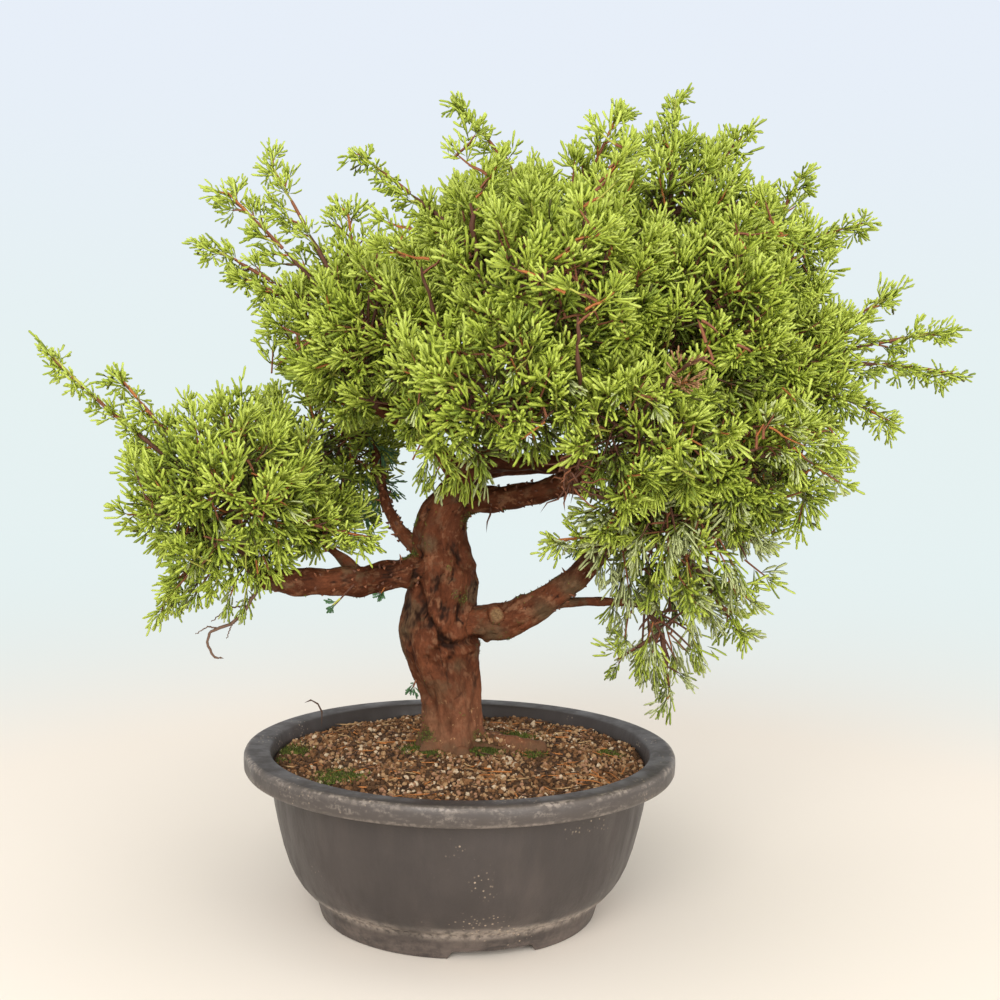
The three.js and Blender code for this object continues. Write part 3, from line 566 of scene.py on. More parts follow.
def makeMoss():
    rng = np.random.default_rng(soil["seed"] + 2)
    flat = []
    for (cx, cy), spread, count in soil["moss"]:
        places = np.array([cx, cy]) + rng.normal(size=(count * 3, 2)) * spread * 0.5
        flat.append(places[np.hypot(*places.T) < soil["edgeRadius"] - 2])
    flat = np.concatenate(flat)
    count = len(flat)
    base = np.concatenate([flat, soilHeight(flat[:, 0], flat[:, 1])[:, None] - 0.4], 1)
    lean = np.concatenate([rng.normal(size=(count, 2)) * 0.45, np.ones((count, 1))], 1)
    makeMossTufts("soil_moss", base, lean, 1.2 + 1.4 * rng.random(count), rng)


makeSoilBed()
makeSoilGrains()
makeLitter()
makeMoss()
print("soil done")

# Wood: the same trunk rings and bough rule as the solids
trunkRings = np.array([
    (85.3, -3.5, 14, 16.6), (92, -4, 14, 16), (101, -5, 13.5, 15.8), (116, -6, 12.5, 17.2),
    (126, -8, 11.5, 18.5), (137, -11.3, 10, 20.4), (150, -14.4, 8, 21.1), (161, -14.8, 6.5, 21),
    (171, -12.8, 6, 19.4), (181, -11.3, 6, 19.2), (189, -11.1, 6.5, 17.8), (199, -12.5, 7.5, 15.2),
    (212, -13.2, 9, 15), (220, -10, 9.5, 14.2), (228, -4.5, 10, 11.5), (236, 0, 11, 9),
    (246, 10.5, 12, 7), (256, 24, 13, 6.2), (280, 41, 14, 5.6), (313, 52, 16, 4.6),
    (345, 64, 17, 3.4), (372, 80, 17, 2.6)], float)
# Each bough: parent, place on it, tip, heading out, heading in, radii
boughs = {
    "bough_lower_right": ("trunk", 157, (86, -20, 222), (-10, -7), (0, 62), (10, 5)),
    "bough_lower_right_side": ("bough_lower_right", 0.42, (92, -6, 170), (20, 8), (10, -4), (3.4, 2.2)),
    "bough_left": ("trunk", 188, (-105, -36, 184), (210, -10), (200, 8), (8.8, 5.6)),
    "bough_left_inner": ("bough_left", 0.43, (-74, -10, 198), (165, 30), (150, 20), (3.2, 2)),
    "bough_left_back": ("trunk", 189, (-56, 58, 256), (175, 20), (120, 55), (4.6, 2.2)),
    "bough_upper_left": ("trunk", 232, (-48, -9, 274), (160, 62), (188, 30), (6.2, 3.8)),
    "bough_upper_right": ("trunk", 222, (62, -30, 240), (-22, 6), (-35, 22), (8, 5.6)),
    "bough_right_middle": ("bough_upper_right", 0.84, (116, -34, 238), (0, -20), (-5, 12), (3.2, 2.2)),
    "bough_front_right": ("bough_upper_right", 0.93, (76, -52, 253), (-50, 45), (-70, 25), (4, 2.6)),
    "bough_right": ("trunk", 244, (160, -4, 268), (-15, 4), (8, 32), (5.4, 3)),
    "bough_back_right_side": ("bough_right", 0.62, (148, 42, 290), (55, 35), (60, 30), (3, 2.2)),
    "bough_back_right_low": ("trunk", 238, (106, 52, 243), (45, 5), (30, 0), (4.4, 2.6)),
    "bough_front": ("trunk", 250, (15, -46, 271), (-110, 25), (-90, 15), (4, 2.6)),
    "bough_front_upper": ("trunk", 284, (45, -40, 316), (-95, 45), (-88, 20), (3.6, 2.4)),
    "bough_right_inner": ("trunk", 296, (94, -22, 314), (-30, 20), (-35, 15), (3.4, 2.4)),
    "bough_crown_left": ("trunk", 268, (-2, -6, 334), (170, 60), (180, 70), (4.4, 2.8)),
    "bough_top": ("trunk", 318, (44, 20, 348), (150, 50), (110, 80), (3, 2.2)),
    "bough_right_upper": ("trunk", 318, (136, 14, 346), (10, 20), (0, 30), (3.4, 2.4)),
    "bough_back_left": ("trunk", 262, (-26, 68, 300), (115, 25), (130, 30), (4.2, 2.8)),
    "bough_back_right": ("trunk", 290, (76, 70, 306), (75, 20), (70, 20), (4, 2.8)),
    "bough_back_top": ("trunk", 338, (46, 62, 370), (105, 35), (110, 35), (2.8, 2.2)),
}
bark = {
    "lowVoxel": 0.75, "highVoxel": 0.95, "splitHeight": 258, "curveStep": 2.5,
    "depthShare": 0.92, "flareHeight": 16.0, "flareShare": 0.2, "lobes": 4, "lobeDepth": 0.045,
    "twist": 0.021, "broad": 3.6, "lump": 1.1, "fine": 0.22, "crack": 0.35,
    # The red and light bark tones are darkened partly as painted shade under the crown, and the foot tone is
    # painted light on the low trunk
    "deep": (0.021, 0.008, 0.004), "red": (0.068, 0.019, 0.007), "light": (0.132, 0.041, 0.017),
    "tan": (0.26, 0.125, 0.065), "greyGreen": (0.098, 0.068, 0.036), "moss": (0.033, 0.038, 0.011),
    "dead": (0.15, 0.085, 0.055), "foot": (0.25, 0.102, 0.052), "flecks": (0.62, 0.36, 0.17),
    "soiled": (0.125, 0.066, 0.034), "cutTones": [(0.12, 0.066, 0.03), (0.20, 0.115, 0.052)],
    "fineShades": [(0.80, 0.78, 0.76), (1.16, 1.14, 1.12)],
    "mossTufts": 1300, "mossSeed": 9, "evenRounds": 8, "boughRoughness": 1.6, "splitOverlap": 4,
    "limbGap": 400, "softRounds": 6, "reach": 26, "stepLength": 14, "collar": 0.28,
    "stub": ((17, -4, 162.5), (17.9, -12.6, 163.3), 3.7, 3.4),
    "spots": [((-36, -2, 148), 13, 1.1), ((1.8, -15, 144), 5, -3.4), ((-3, -15, 146), 4, -1.6),
              ((13, -7, 168.5), 8, 3.0), ((20, -6, 150), 9, 1.6), ((9, -4, 178.5), 6, 2.2),
              ((34, -9, 150), 7, 1.6), ((46, -10, 172), 7, 1.4), ((58, -12, 178), 6, -1.0),
              ((-45, -8, 190), 8, 1.6), ((-64, -18, 190), 8, 1.6), ((-54, -14, 176), 7, 1.2),
              ((-80, -26, 190), 7, 1.2), ((-88, -30, 178), 7, 1.2),
              ((-30, -12, 161), 5, -1.5), ((-34, 0, 166), 4, -1.2), ((-20, -12, 178), 6, -1.0),
              ((-5, -9, 197), 5, -1.4), ((-27, 0, 206), 7, 1.4), ((-4, -8, 186), 8, 1.3),
              ((-2, -12, 166), 5, -1.2), ((-28, -10, 184), 6, 1.2)],
    "wrinkles": ((-15, -14, 145), 9, 0.4, 3.6),
    "creases": [([(-24.4, 194), (-26.8, 178.4), (-24, 168.7), (-17.8, 156.9), (-9, 146)], 2.0, 2.4),
                ([(6.5, 184), (3.5, 172.3), (-0.7, 162.4), (-8.5, 148.7)], 2.3, 1.9),
                ([(-13.3, 141.7), (-5.7, 144.5), (1.8, 146.3), (8.2, 148.6)], 2.2, 3.2),
                ([(-31, 149.5), (-25.8, 132), (-20.6, 114.4)], 1.8, 1.6),
                ([(-5.2, 140), (-8.1, 124.8), (-5.1, 108.9), (-7, 96)], 1.4, 1.1),
                ([(4.1, 139.6), (8.3, 120.3), (7, 100.9)], 1.3, 0.9),
                ([(-18.2, 234.9), (-20.1, 218.6), (-24.2, 202.3)], 1.8, 1.5),
                ([(-1.3, 224.5), (1.7, 208.3), (-2.3, 191.9), (-8, 180)], 1.8, 1.4),
                ([(-14, 206), (-10, 192), (-15, 178), (-10, 166)], 1.5, 1.0),
                ([(-19, 138), (-15, 120), (-17, 104)], 1.6, 1.0)],
    # Grey bark spots; the last three, on the front of the lower right bough, are painted highlight
    "greySpotsAndHighlights": [((0.4, -9, 133), 6), ((2.3, -9, 119.4), 6.5), ((3.6, -8, 106), 5.5), ((-34, -3, 166), 9),
                  ((-34, -4, 152), 9), ((16, -10, 152), 8), ((-20, -8, 200), 6), ((44, -14, 166), 8),
                  ((58, -18, 180), 8), ((72, -22, 196), 8)],
    "mossSpots": [((3, 0, 213), 7), ((-31, -2, 194), 7), ((0, -10, 170.6), 6), ((-8, -8, 188), 3.5),
                  ((-24, 4, 212), 5), ((22, -8, 217), 4), ((12, 4, 92), 6), ((-18, 6, 92), 6)],
}
# Roots that show at the soil: start, tip, heading out, heading in, radii
surfaceRoots = [
    ((6, 11, 88.5), (44, 7, 84.6), (-12, -8), (-5, -12), (6.4, 2.2)),
    ((8, 20, 88), (20, 27, 83.4), (30, -18), (35, -30), (6, 2.5)),
    ((-14, 20, 88), (-23, 28, 82.6), (140, -20), (150, -35), (6.5, 2.5)),
    ((-12, 6, 88), (-20, -1, 83), (210, -25), (220, -40), (6, 2.2)),
    ((-2, 5, 87), (1, -5, 82.4), (290, -25), (285, -45), (4.6, 1.6)),
]


def heading(turnAndClimb):
    turn, climb = np.radians(turnAndClimb)
    return np.array([math.cos(turn) * math.cos(climb), math.sin(turn) * math.cos(climb), math.sin(climb)])


def curveThrough(controls, shares):
    t = np.asarray(shares, float)[:, None]
    points = [np.asarray(p, float)[None] for p in controls]
    while len(points) > 1:
        points = [a * (1 - t) + b * t for a, b in zip(points, points[1:])]
    return points[0]


def limbControls(start, tip, leave, arrive):
    start, tip = np.asarray(start, float), np.asarray(tip, float)
    handle = np.linalg.norm(tip - start) * 0.4
    return [start, start + heading(leave) * handle, tip - heading(arrive) * handle, tip]


def lengthOf(points):
    return float(np.linalg.norm(np.diff(points, axis=0), axis=1).sum())


limbs = {}  # name: fine points, radii, and the way it heads at its tip


def growLimbs():
    heights = trunkRings[:, 0]
    fine = np.linspace(heights[0] - 6, heights[-1], 120)
    soft = np.stack([np.interp(fine, heights, trunkRings[:, 1]), np.interp(fine, heights, trunkRings[:, 2]),
                     fine], 1)
    softened(soft, bark["softRounds"])
    limbs["trunk"] = {"points": soft, "radii": np.interp(fine, heights, trunkRings[:, 3]),
                      "tip": trunkRings[-1, [1, 2, 0]],
                      "way": unit(trunkRings[-1, [1, 2, 0]] - trunkRings[-2, [1, 2, 0]])}
    for name, (parent, at, tip, leave, arrive, radii) in boughs.items():
        if parent == "trunk":
            start = np.array([np.interp(at, heights, trunkRings[:, i]) for i in (1, 2, 0)])
        else:
            controls, steps = limbs[parent]["controls"], limbs[parent]["steps"]
            start = curveThrough(controls, [round(at * steps) / steps])[0]
        controls = limbControls(start, tip, leave, arrive)
        length = lengthOf(curveThrough(controls, np.linspace(0, 1, 201)))
        steps = max(5, int(length / bark["stepLength"] + 0.5))
        shares = np.linspace(0, 1, max(8, int(length / bark["curveStep"])))
        coarse = curveThrough(controls, np.linspace(0, 1, steps + 1))
        collar = bark["collar"] * np.maximum(0, 1 - shares * 4) ** 2
        limbs[name] = {"points": curveThrough(controls, shares),
                       "radii": (radii[0] + (radii[1] - radii[0]) * shares) * (1 + collar),
                       "tip": coarse[-1], "way": unit(coarse[-1] - coarse[-2]),
                       "controls": controls, "steps": steps}


def addLimbCurve(points, radii):
    deselect()
    bpy.ops.curve.primitive_bezier_curve_add(location=(0, 0, 0))
    curve = bpy.context.object
    shape = curve.data
    shape.splines.clear()
    spline = shape.splines.new("POLY")
    spline.points.add(len(points) - 1)
    places = np.concatenate([onAxis(points), np.ones((len(points), 1))], 1)
    spline.points.foreach_set("co", places.astype(np.float32).ravel())
    spline.points.foreach_set("radius", (np.asarray(radii) * mm).astype(np.float32))
    shape.bevel_depth = 1.0
    shape.bevel_resolution = 5
    shape.use_fill_caps = True
    return curve


# Nearest limb to each corner, with the place round it and along it
def limbPlaces(corners):
    best = np.full(len(corners), 1e9)
    across = np.zeros((len(corners), 2))
    along = np.zeros(len(corners))
    thick = np.ones(len(corners))
    owner = np.zeros(len(corners), int)
    for number, limb in enumerate(limbs.values()):
        points, radii = limb["points"], limb["radii"]
        low, high = points.min(0) - bark["reach"], points.max(0) + bark["reach"]
        near = np.where(((corners > low) & (corners < high)).all(1))[0]
        here = corners[near]
        run = np.concatenate([[0], np.cumsum(np.linalg.norm(np.diff(points, axis=0), axis=1))])
        for i in range(len(points) - 1):
            a, step = points[i], points[i + 1] - points[i]
            share = np.clip((here - a) @ step / (step @ step), 0, 1)
            away = here - a - share[:, None] * step
            radius = radii[i] + (radii[i + 1] - radii[i]) * share
            gap = np.linalg.norm(away, axis=1) - radius
            better = gap < best[near]
            which = near[better]
            best[which] = gap[better]
            way = unit(step)
            first = unit(np.cross(way, [0.0, 1.0, 0.0] if abs(way[1]) < 0.9 else [0.0, 0.0, 1.0]))
            second = np.cross(way, first)
            across[which] = np.stack([away[better] @ first, away[better] @ second], 1)
            along[which] = bark["limbGap"] * number + run[i] + share[better] * (run[i + 1] - run[i])
            thick[which] = radius[better]
            owner[which] = number
    trunk = limbs["trunk"]["points"]
    here = owner == 0
    for i in range(2):
        across[here, i] = corners[here, i] - np.interp(corners[here, 2], trunk[:, 2], trunk[:, i])
    along[here] = corners[here, 2]
    return np.concatenate([across, along[:, None]], 1), thick, owner


# Even out values at the corners along the mesh, within one limb
def evenOut(mesh, values, owner, rounds):
    ends = np.empty(len(mesh.edges) * 2, np.int32)
    mesh.edges.foreach_get("vertices", ends)
    ends = ends.reshape(-1, 2)
    first, second = ends[owner[ends[:, 0]] == owner[ends[:, 1]]].T
    size = len(values)
    around = 1 + np.bincount(first, minlength=size) + np.bincount(second, minlength=size)
    for _ in range(rounds):
        for i in range(values.shape[1]):
            column = values[:, i]
            beside = np.bincount(first, column[second], size) + np.bincount(second, column[first], size)
            values[:, i] = (column + beside) / around
    return values


# How close each corner is to a line of (x, z) places on the front
def creaseCloseness(local, points, width):
    flat = local[:, [0, 2]]
    away = np.full(len(local), 1e9)
    for a, b in zip(points, points[1:]):
        a, step = np.array(a, float), np.array(b, float) - np.array(a, float)
        share = np.clip((flat - a) @ step / (step @ step), 0, 1)
        away = np.minimum(away, np.linalg.norm(flat - a - share[:, None] * step, axis=1))
    return np.exp(-(away / width) ** 2), np.exp(-((away - 2.1 * width) / width) ** 2)


def nearness(local, centre, radius):
    return np.exp(-((local - np.array(centre, float)) ** 2).sum(1) * 1.3 / radius ** 2)


def makeBarkMaterial():
    material, tree, shader = newMaterial("mottled red bark", 0.75, 0.12)

    def attribute(name, output="Fac"):
        return addNode(tree, "ShaderNodeAttribute", attribute_name=name).outputs[output]

    grain, relief = attribute("grain", "Vector"), attribute("relief")
    place = objectPlace(tree)
    height = heightOf(tree, place)
    strips = stretched(tree, grain, 0.7)
    fine = cloudNoise(tree, stretched(tree, grain, 0.5), 620.0, 7.0, 0.72)

    def marks(scale, low, high, vector=strips):
        return patches(tree, vector, scale, low, high)

    colour = mixColours(tree, marks(70, 0.36, 0.64), bark["red"], bark["light"])
    colour = tint(tree, colour, bark["tan"], marks(240, 0.50, 0.66), 0.6)
    colour = tint(tree, colour, bark["deep"], marks(120, 0.54, 0.70), 0.4)
    # Grey bark in patches, with painted highlight on the front of the lower right bough
    greyBarkAndHighlight = mathNode(tree, "MAXIMUM", product(tree, marks(34, 0.57, 0.64, place), 0.6),
                      product(tree, attribute("greyBarkAndHighlight"), 0.75))
    colour = tint(tree, colour, bark["greyGreen"], greyBarkAndHighlight)
    # Painted shade in the bark's cracks, grooves, hollows and creases, and painted highlight on its ridges,
    # both set by the relief
    colour = tint(tree, colour, bark["deep"], band(tree, relief, 0.46, 0.08))
    colour = tint(tree, colour, bark["light"], band(tree, relief, 0.62, 0.9), 0.4)
    # Painted light: the trunk is painted lighter towards its foot, below the crown's painted shade
    colour = tint(tree, colour, bark["foot"], band(tree, height, 0.142, 0.090), 0.62)
    colour = tint(tree, colour, bark["flecks"], band(tree, height, 0.125, 0.095),
                  marks(330, 0.62, 0.7, place))
    fineShade = mixColours(tree, band(tree, fine, 0.36, 0.64), *bark["fineShades"])
    colour = mixColours(tree, 1.0, colour, fineShade, "MULTIPLY")
    colour = tint(tree, colour, bark["moss"], attribute("mossy"), 0.85)
    rings = cloudNoise(tree, place, 900.0)
    cutTone = mixColours(tree, band(tree, rings, 0.35, 0.65), *bark["cutTones"])
    colour = tint(tree, colour, cutTone, attribute("cutWood"))
    colour = tint(tree, colour, bark["soiled"], band(tree, height, 0.096, 0.087),
                  marks(110, 0.3, 0.56, place), 0.85)
    tree.links.new(colour, shader.inputs["Base Color"])
    fibres = addBump(tree, shader, fine, 0.6, 0.0007)
    addBump(tree, shader, cloudNoise(tree, strips, 300.0, 4.0), 0.5, 0.0013, fibres)
    return material


# Joined curves, remeshed into one skin, with the bark's relief pushed into its corners
def makeWood(pieceName, curves, voxel, material, replaced):
    deselect()
    for curve in curves:
        curve.select_set(True)
    bpy.context.view_layer.objects.active = curves[0]
    bpy.ops.object.convert(target="MESH")
    bpy.ops.object.join()
    piece = bpy.context.object
    piece.name = pieceName
    applyPlace(piece)
    applyModifier(piece, "REMESH", mode="VOXEL", voxel_size=voxel * mm, use_smooth_shade=True)
    applyModifier(piece, "SMOOTH", factor=0.5, iterations=4)

    mesh = piece.data
    corners = np.empty(len(mesh.vertices) * 3, np.float32)
    mesh.vertices.foreach_get("co", corners)
    normals = np.empty(len(mesh.vertices) * 3, np.float32)
    mesh.vertex_normals.foreach_get("vector", normals)
    normals = normals.reshape(-1, 3).astype(float)
    local = (corners.reshape(-1, 3).astype(float) - potAxis) / mm
    grainAt, thick, owner = limbPlaces(local)
    grainAt = evenOut(mesh, grainAt, owner, bark["evenRounds"])
    across, along = grainAt[:, :2], grainAt[:, 2]
    onTrunk = owner == 0

    # Flutes, depth and flared foot of the trunk, as on the solid
    above = local[:, 2] - trunkRings[0, 0]
    angle = np.arctan2(across[:, 1], across[:, 0])
    flare = bark["flareShare"] * np.maximum(0, 1 - above / bark["flareHeight"]) ** 2
    lobe = bark["lobeDepth"] * np.sin(bark["lobes"] * (angle + above * bark["twist"]))
    depth = -(1 - bark["depthShare"]) * normals[:, 1] ** 2
    push = np.where(onTrunk, thick * (lobe + depth + flare * 0.5 * (1 + np.cos(bark["lobes"] * angle))), 0.0)

    # relief sets the bark's painted shade in cracks and low lumps and its painted highlight on ridges; sunken
    # spots, creases and folds below change it too
    relief = np.empty(len(local))
    size = np.clip(thick / 16, 0.22, 1.0)
    rough = np.clip(thick / 9, 0.3, 1.0) * np.where(onTrunk, 1.0, bark["boughRoughness"])
    for i, ((u, v), s) in enumerate(zip(across, along)):
        broad = noise.noise(Vector((u * 0.065, v * 0.065, s * 0.028)))
        lump = noise.noise(Vector((u * 0.19, v * 0.19, s * 0.10 + 9.0)))
        fine = noise.noise(Vector((u * 0.72, v * 0.72, s * 0.30 + 23.0)))
        near = noise.voronoi(Vector((u * 0.15 + lump * 0.4, v * 0.15 + fine * 0.15, s * 0.055)))[0]
        crack = max(0.0, 1 - (near[1] - near[0]) / 0.055) * max(0.0, min(1.0, 0.35 + 2.6 * broad))
        push[i] += (bark["broad"] * broad * size[i]
                    + rough[i] * (bark["lump"] * lump + bark["fine"] * fine - bark["crack"] * crack))
        relief[i] = 0.58 + 0.3 * lump + 0.3 * fine + 0.25 * broad - 0.4 * crack
    for centre, radius, height in bark["spots"]:
        close = nearness(local, centre, radius)
        push += height * close
        relief += np.where(height < 0, 0.3 * height, 0.0) * close
    front = smooth(0.2, -0.35, normals[:, 1])
    for points, width, depth in bark["creases"]:
        close, beside = creaseCloseness(local, points, width)
        push += front * depth * (0.3 * beside - close)
        relief -= front * (0.12 + 0.07 * depth) * close
    centre, radius, height, wave = bark["wrinkles"]
    folds = np.sin(2 * np.pi * (local[:, 2] + 0.15 * local[:, 0]) / wave) * nearness(local, centre, radius)
    push += height * folds
    relief += 0.12 * folds
    mossy = np.max([nearness(local, centre, radius) for centre, radius in bark["mossSpots"]], axis=0)
    mossy = np.clip(mossy * 1.3 - 0.5 + 1.6 * (relief - 0.5), 0, 1)
    greyBarkAndHighlight = np.max([nearness(local, centre, radius) for centre, radius in bark["greySpotsAndHighlights"]], axis=0)
    greyBarkAndHighlight = np.clip(greyBarkAndHighlight * 1.5 - 0.3 + 0.8 * (relief - 0.5), 0, 1)
    stubEnd = np.array(bark["stub"][1])
    fromEnd = np.linalg.norm((local - stubEnd) * [1, 0.8, 1], axis=1)
    cutWood = smooth(3.4, 2.7, fromEnd) * (normals[:, 1] < -0.5)
    push *= 1 - cutWood
    local += normals * push[:, None]
    mesh.vertices.foreach_set("co", onAxis(local).astype(np.float32).ravel())
    grain = mesh.attributes.new("grain", "FLOAT_VECTOR", "POINT")
    grain.data.foreach_set("vector", (grainAt * mm).astype(np.float32).ravel())
    for name, values in (("relief", relief), ("mossy", mossy), ("greyBarkAndHighlight", greyBarkAndHighlight), ("cutWood", cutWood)):
        attribute = mesh.attributes.new(name, "FLOAT", "POINT")
        attribute.data.foreach_set("value", np.clip(values, 0, 1).astype(np.float32))
    mesh.update()
    mesh.materials.append(material)
    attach(piece, "root")
    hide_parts(*replaced)
    print(pieceName, "done:", len(mesh.polygons), "faces")
    return local, normals, mossy


def makeAllWood():
    material = makeBarkMaterial()
    lowNames = ["bough_lower_right", "bough_left", "bough_upper_right", "bough_upper_left", "bough_left_back"]
    highNames = [name for name in boughs if name not in lowNames]
    trunk = limbs["trunk"]
    below = trunk["points"][:, 2] < bark["splitHeight"] + bark["splitOverlap"]
    above = trunk["points"][:, 2] > bark["splitHeight"] - bark["splitOverlap"]
    curves = [addLimbCurve(trunk["points"][below], trunk["radii"][below])]
    curves += [addLimbCurve(limbs[name]["points"], limbs[name]["radii"]) for name in lowNames]
    for start, tip, leave, arrive, radii in surfaceRoots:
        shares = np.linspace(0, 1, 16)
        root = curveThrough(limbControls(start, tip, leave, arrive), shares)
        curves.append(addLimbCurve(root, radii[0] + (radii[1] - radii[0]) * shares))
    start, end, thick, thin = bark["stub"]
    curves.append(addLimbCurve(np.linspace(start, end, 5), np.linspace(thick, thin, 5)))
    local, normals, mossy = makeWood("trunk_wood", curves, bark["lowVoxel"], material, ["trunk", *lowNames])
    curves = [addLimbCurve(trunk["points"][above], trunk["radii"][above])]
    curves += [addLimbCurve(limbs[name]["points"], limbs[name]["radii"]) for name in highNames]
    makeWood("bough_wood", curves, bark["highVoxel"], material, highNames)
    rng = np.random.default_rng(bark["mossSeed"])
    chosen = rng.choice(len(local), bark["mossTufts"], p=mossy / mossy.sum())
    base = local[chosen] - normals[chosen] * 0.4
    lean = normals[chosen] + rng.normal(size=(len(chosen), 3)) * 0.5
    makeMossTufts("bark_moss", base, lean, 0.7 + 0.9 * rng.random(len(chosen)), rng)


growLimbs()
makeAllWood()

# Foliage: the solids' masses, each with its limb, middle and radii, and the tip, bow and fan of its leaders
masses = {
    "foliage_left_pad": ("bough_left", (-124, -37, 233), (57, 60, 53), [
        ((-216, -44, 303), -0.1, 0.55), ((-181, -42, 292), -0.05, 0.75), ((-160, -28, 164), -0.1, 0.9),
        ((-44, -50, 207), -0.06, 0.9)]),
    "foliage_left_inner": ("bough_left_inner", (-78, -4, 217), (28, 28, 26), []),
    "foliage_left_back": ("bough_left_back", (-88, 66, 248), (55, 52, 55), []),
    "foliage_upper_left": ("bough_upper_left", (-56, -10, 316), (52, 58, 54), [
        ((-145, -10, 360), 0.03, 0.8), ((-134, -4, 390), 0.03, 1.15), ((-110, -2, 407), 0.02, 1.15),
        ((-67, 2, 384), 0, 1.25), ((-126, -14, 344), 0, 0.9)]),
    "foliage_crown_left": ("bough_crown_left", (12, -10, 357), (50, 55, 52), [
        ((-65, -5, 411), 0.03, 0.6)]),
    "foliage_top": ("bough_top", (50, 16, 374), (53, 55, 46), [((-12, 4, 441), 0.06, 0.6),
        ((81, 8, 441), -0.05, 1.0)]),
    "foliage_apex": ("trunk", (114, 6, 380), (57, 57, 54), [((110, 5, 447), 0, 0.9),
        ((149, 0, 427), 0, 1.0)]),
    "foliage_right_upper": ("bough_right_upper", (161, 14, 356), (44, 48, 44), [
        ((217, 4, 380), 0.08, 0.9), ((180, 6, 406), 0, 1.0)]),
    "foliage_right": ("bough_right", (168, -2, 303), (49, 55, 50), [((267, -2, 322), 0.05, 0.7),
        ((272, 0, 297), 0.1, 0.65), ((233, -2, 343), 0.02, 0.9), ((234, -8, 269), 0.06, 1.0)]),
    "foliage_right_middle": ("bough_right_middle", (146, -38, 252), (50, 52, 47), []),
    "foliage_right_low": ("bough_lower_right", (118, -22, 204), (55, 55, 50), [
        ((154, -12, 152), -0.05, 1.1), ((42, -48, 207), 0.04, 0.9)]),
    "foliage_right_hanging": ("bough_lower_right_side", (112, -2, 150), (34, 34, 34), [
        ((116, 0, 114), 0, 1.0), ((84, 0, 137), 0, 1.0)]),
    "foliage_front": ("bough_front", (14, -80, 286), (55, 50, 50), []),
    "foliage_front_upper": ("bough_front_upper", (44, -74, 338), (55, 52, 52), []),
    "foliage_front_right": ("bough_front_right", (88, -80, 266), (52, 48, 43), []),
    "foliage_right_inner": ("bough_right_inner", (120, -44, 326), (57, 52, 55), []),
    "foliage_back_left": ("bough_back_left", (-50, 102, 318), (66, 57, 64), []),
    "foliage_back_right": ("bough_back_right", (86, 104, 322), (64, 57, 64), []),
    "foliage_back_top": ("bough_back_top", (24, 86, 375), (62, 55, 47), []),
    "foliage_back_right_low": ("bough_back_right_low", (142, 72, 242), (57, 55, 52), []),
    "foliage_back_right_side": ("bough_back_right_side", (168, 76, 320), (57, 55, 57), []),
}
leafPieces = {
    "leaves_left": ["foliage_left_pad", "foliage_left_inner", "foliage_left_back"],
    "leaves_upper_left": ["foliage_upper_left", "foliage_crown_left"],
    "leaves_top": ["foliage_top", "foliage_apex", "foliage_back_top"],
    "leaves_front": ["foliage_front", "foliage_front_upper", "foliage_front_right"],
    "leaves_right": ["foliage_right_upper", "foliage_right", "foliage_right_inner"],
    "leaves_right_low": ["foliage_right_middle", "foliage_right_low", "foliage_right_hanging"],
    "leaves_back": ["foliage_back_left", "foliage_back_right"],
    "leaves_back_right": ["foliage_back_right_low", "foliage_back_right_side"],
}
growth = {
    "shootsPerArea": 0.0036, "outerReach": (0.88, 1.07), "innerReach": (0.5, 0.8), "innerShare": 0.22,
    "hiddenReach": 0.66, "primaries": 12, "primaryReach": 0.5, "shootLength": (23, 36),
    "hollow": 0.26, "hollowSize": 2.3, "handGap": 5.5, "handLength": (14.0, 19.5),
    "leaderStep": 7.4, "leaderSide": (22, 31),
    "fingers": 6, "shapes": 44, "narrowShapes": 16, "fingerRadius": 0.80, "bendAt": 0.48, "ringAt": 0.92,
    "wideHand": (53, 0.64), "narrowHand": (40, 0.50), "narrowThick": 0.76,
    "stemThick": (0.62, 0.42), "stemShares": [0.15, 0.35, 0.2, 0.3], "bareTip": 11.0, "endHand": 13.0,
    "lightSpread": 0.34, "paleLight": 0.5, "brightLight": 0.32,
    "toneSteps": (0.42, -0.12, -0.62), "darkerShare": 0.18, "tipShare": 0.6,
    "paleShares": [(0, 0.3), (0.3, 0.65)],
    "goldenAngle": 2.399963, "viewer": (0, -700, 267), "firstSeed": 11, "extraSeed": 41, "seed": 71,
}
# leaf bright, mid, deep and inner are one green painted in steps of light and shade, by how much light
# reaches each hand
leafTones = {
    "leaf tip": (0.50, 0.575, 0.105), "leaf bright": (0.415, 0.485, 0.064), "leaf mid": (0.33, 0.40, 0.044),
    "leaf deep": (0.215, 0.275, 0.038), "leaf inner shade": (0.085, 0.085, 0.02), "leaf grey": (0.30, 0.335, 0.12),
    "leaf grey tip": (0.44, 0.475, 0.21), "leaf dry": (0.36, 0.19, 0.09), "leaf shaded": (0.085, 0.17, 0.075),
}
cordShare = {"foliage_right_hanging": 1.0, "foliage_right_low": 0.55, "foliage_right_middle": 0.4,
             "foliage_front": 0.25, "foliage_front_right": 0.3, "foliage_left_pad": 0.12}
# The pale masses get painted light and a share of grey-green; the bright masses get painted light
paleAndLitMasses = ["foliage_right_hanging", "foliage_right_low"]
litMasses = ["foliage_front_right", "foliage_right_middle", "foliage_upper_left", "foliage_crown_left"]
openMasses = {"foliage_right_hanging": 0.28, "foliage_right_low": 0.8, "foliage_left_back": 0.7,
              "foliage_left_inner": 0.8}
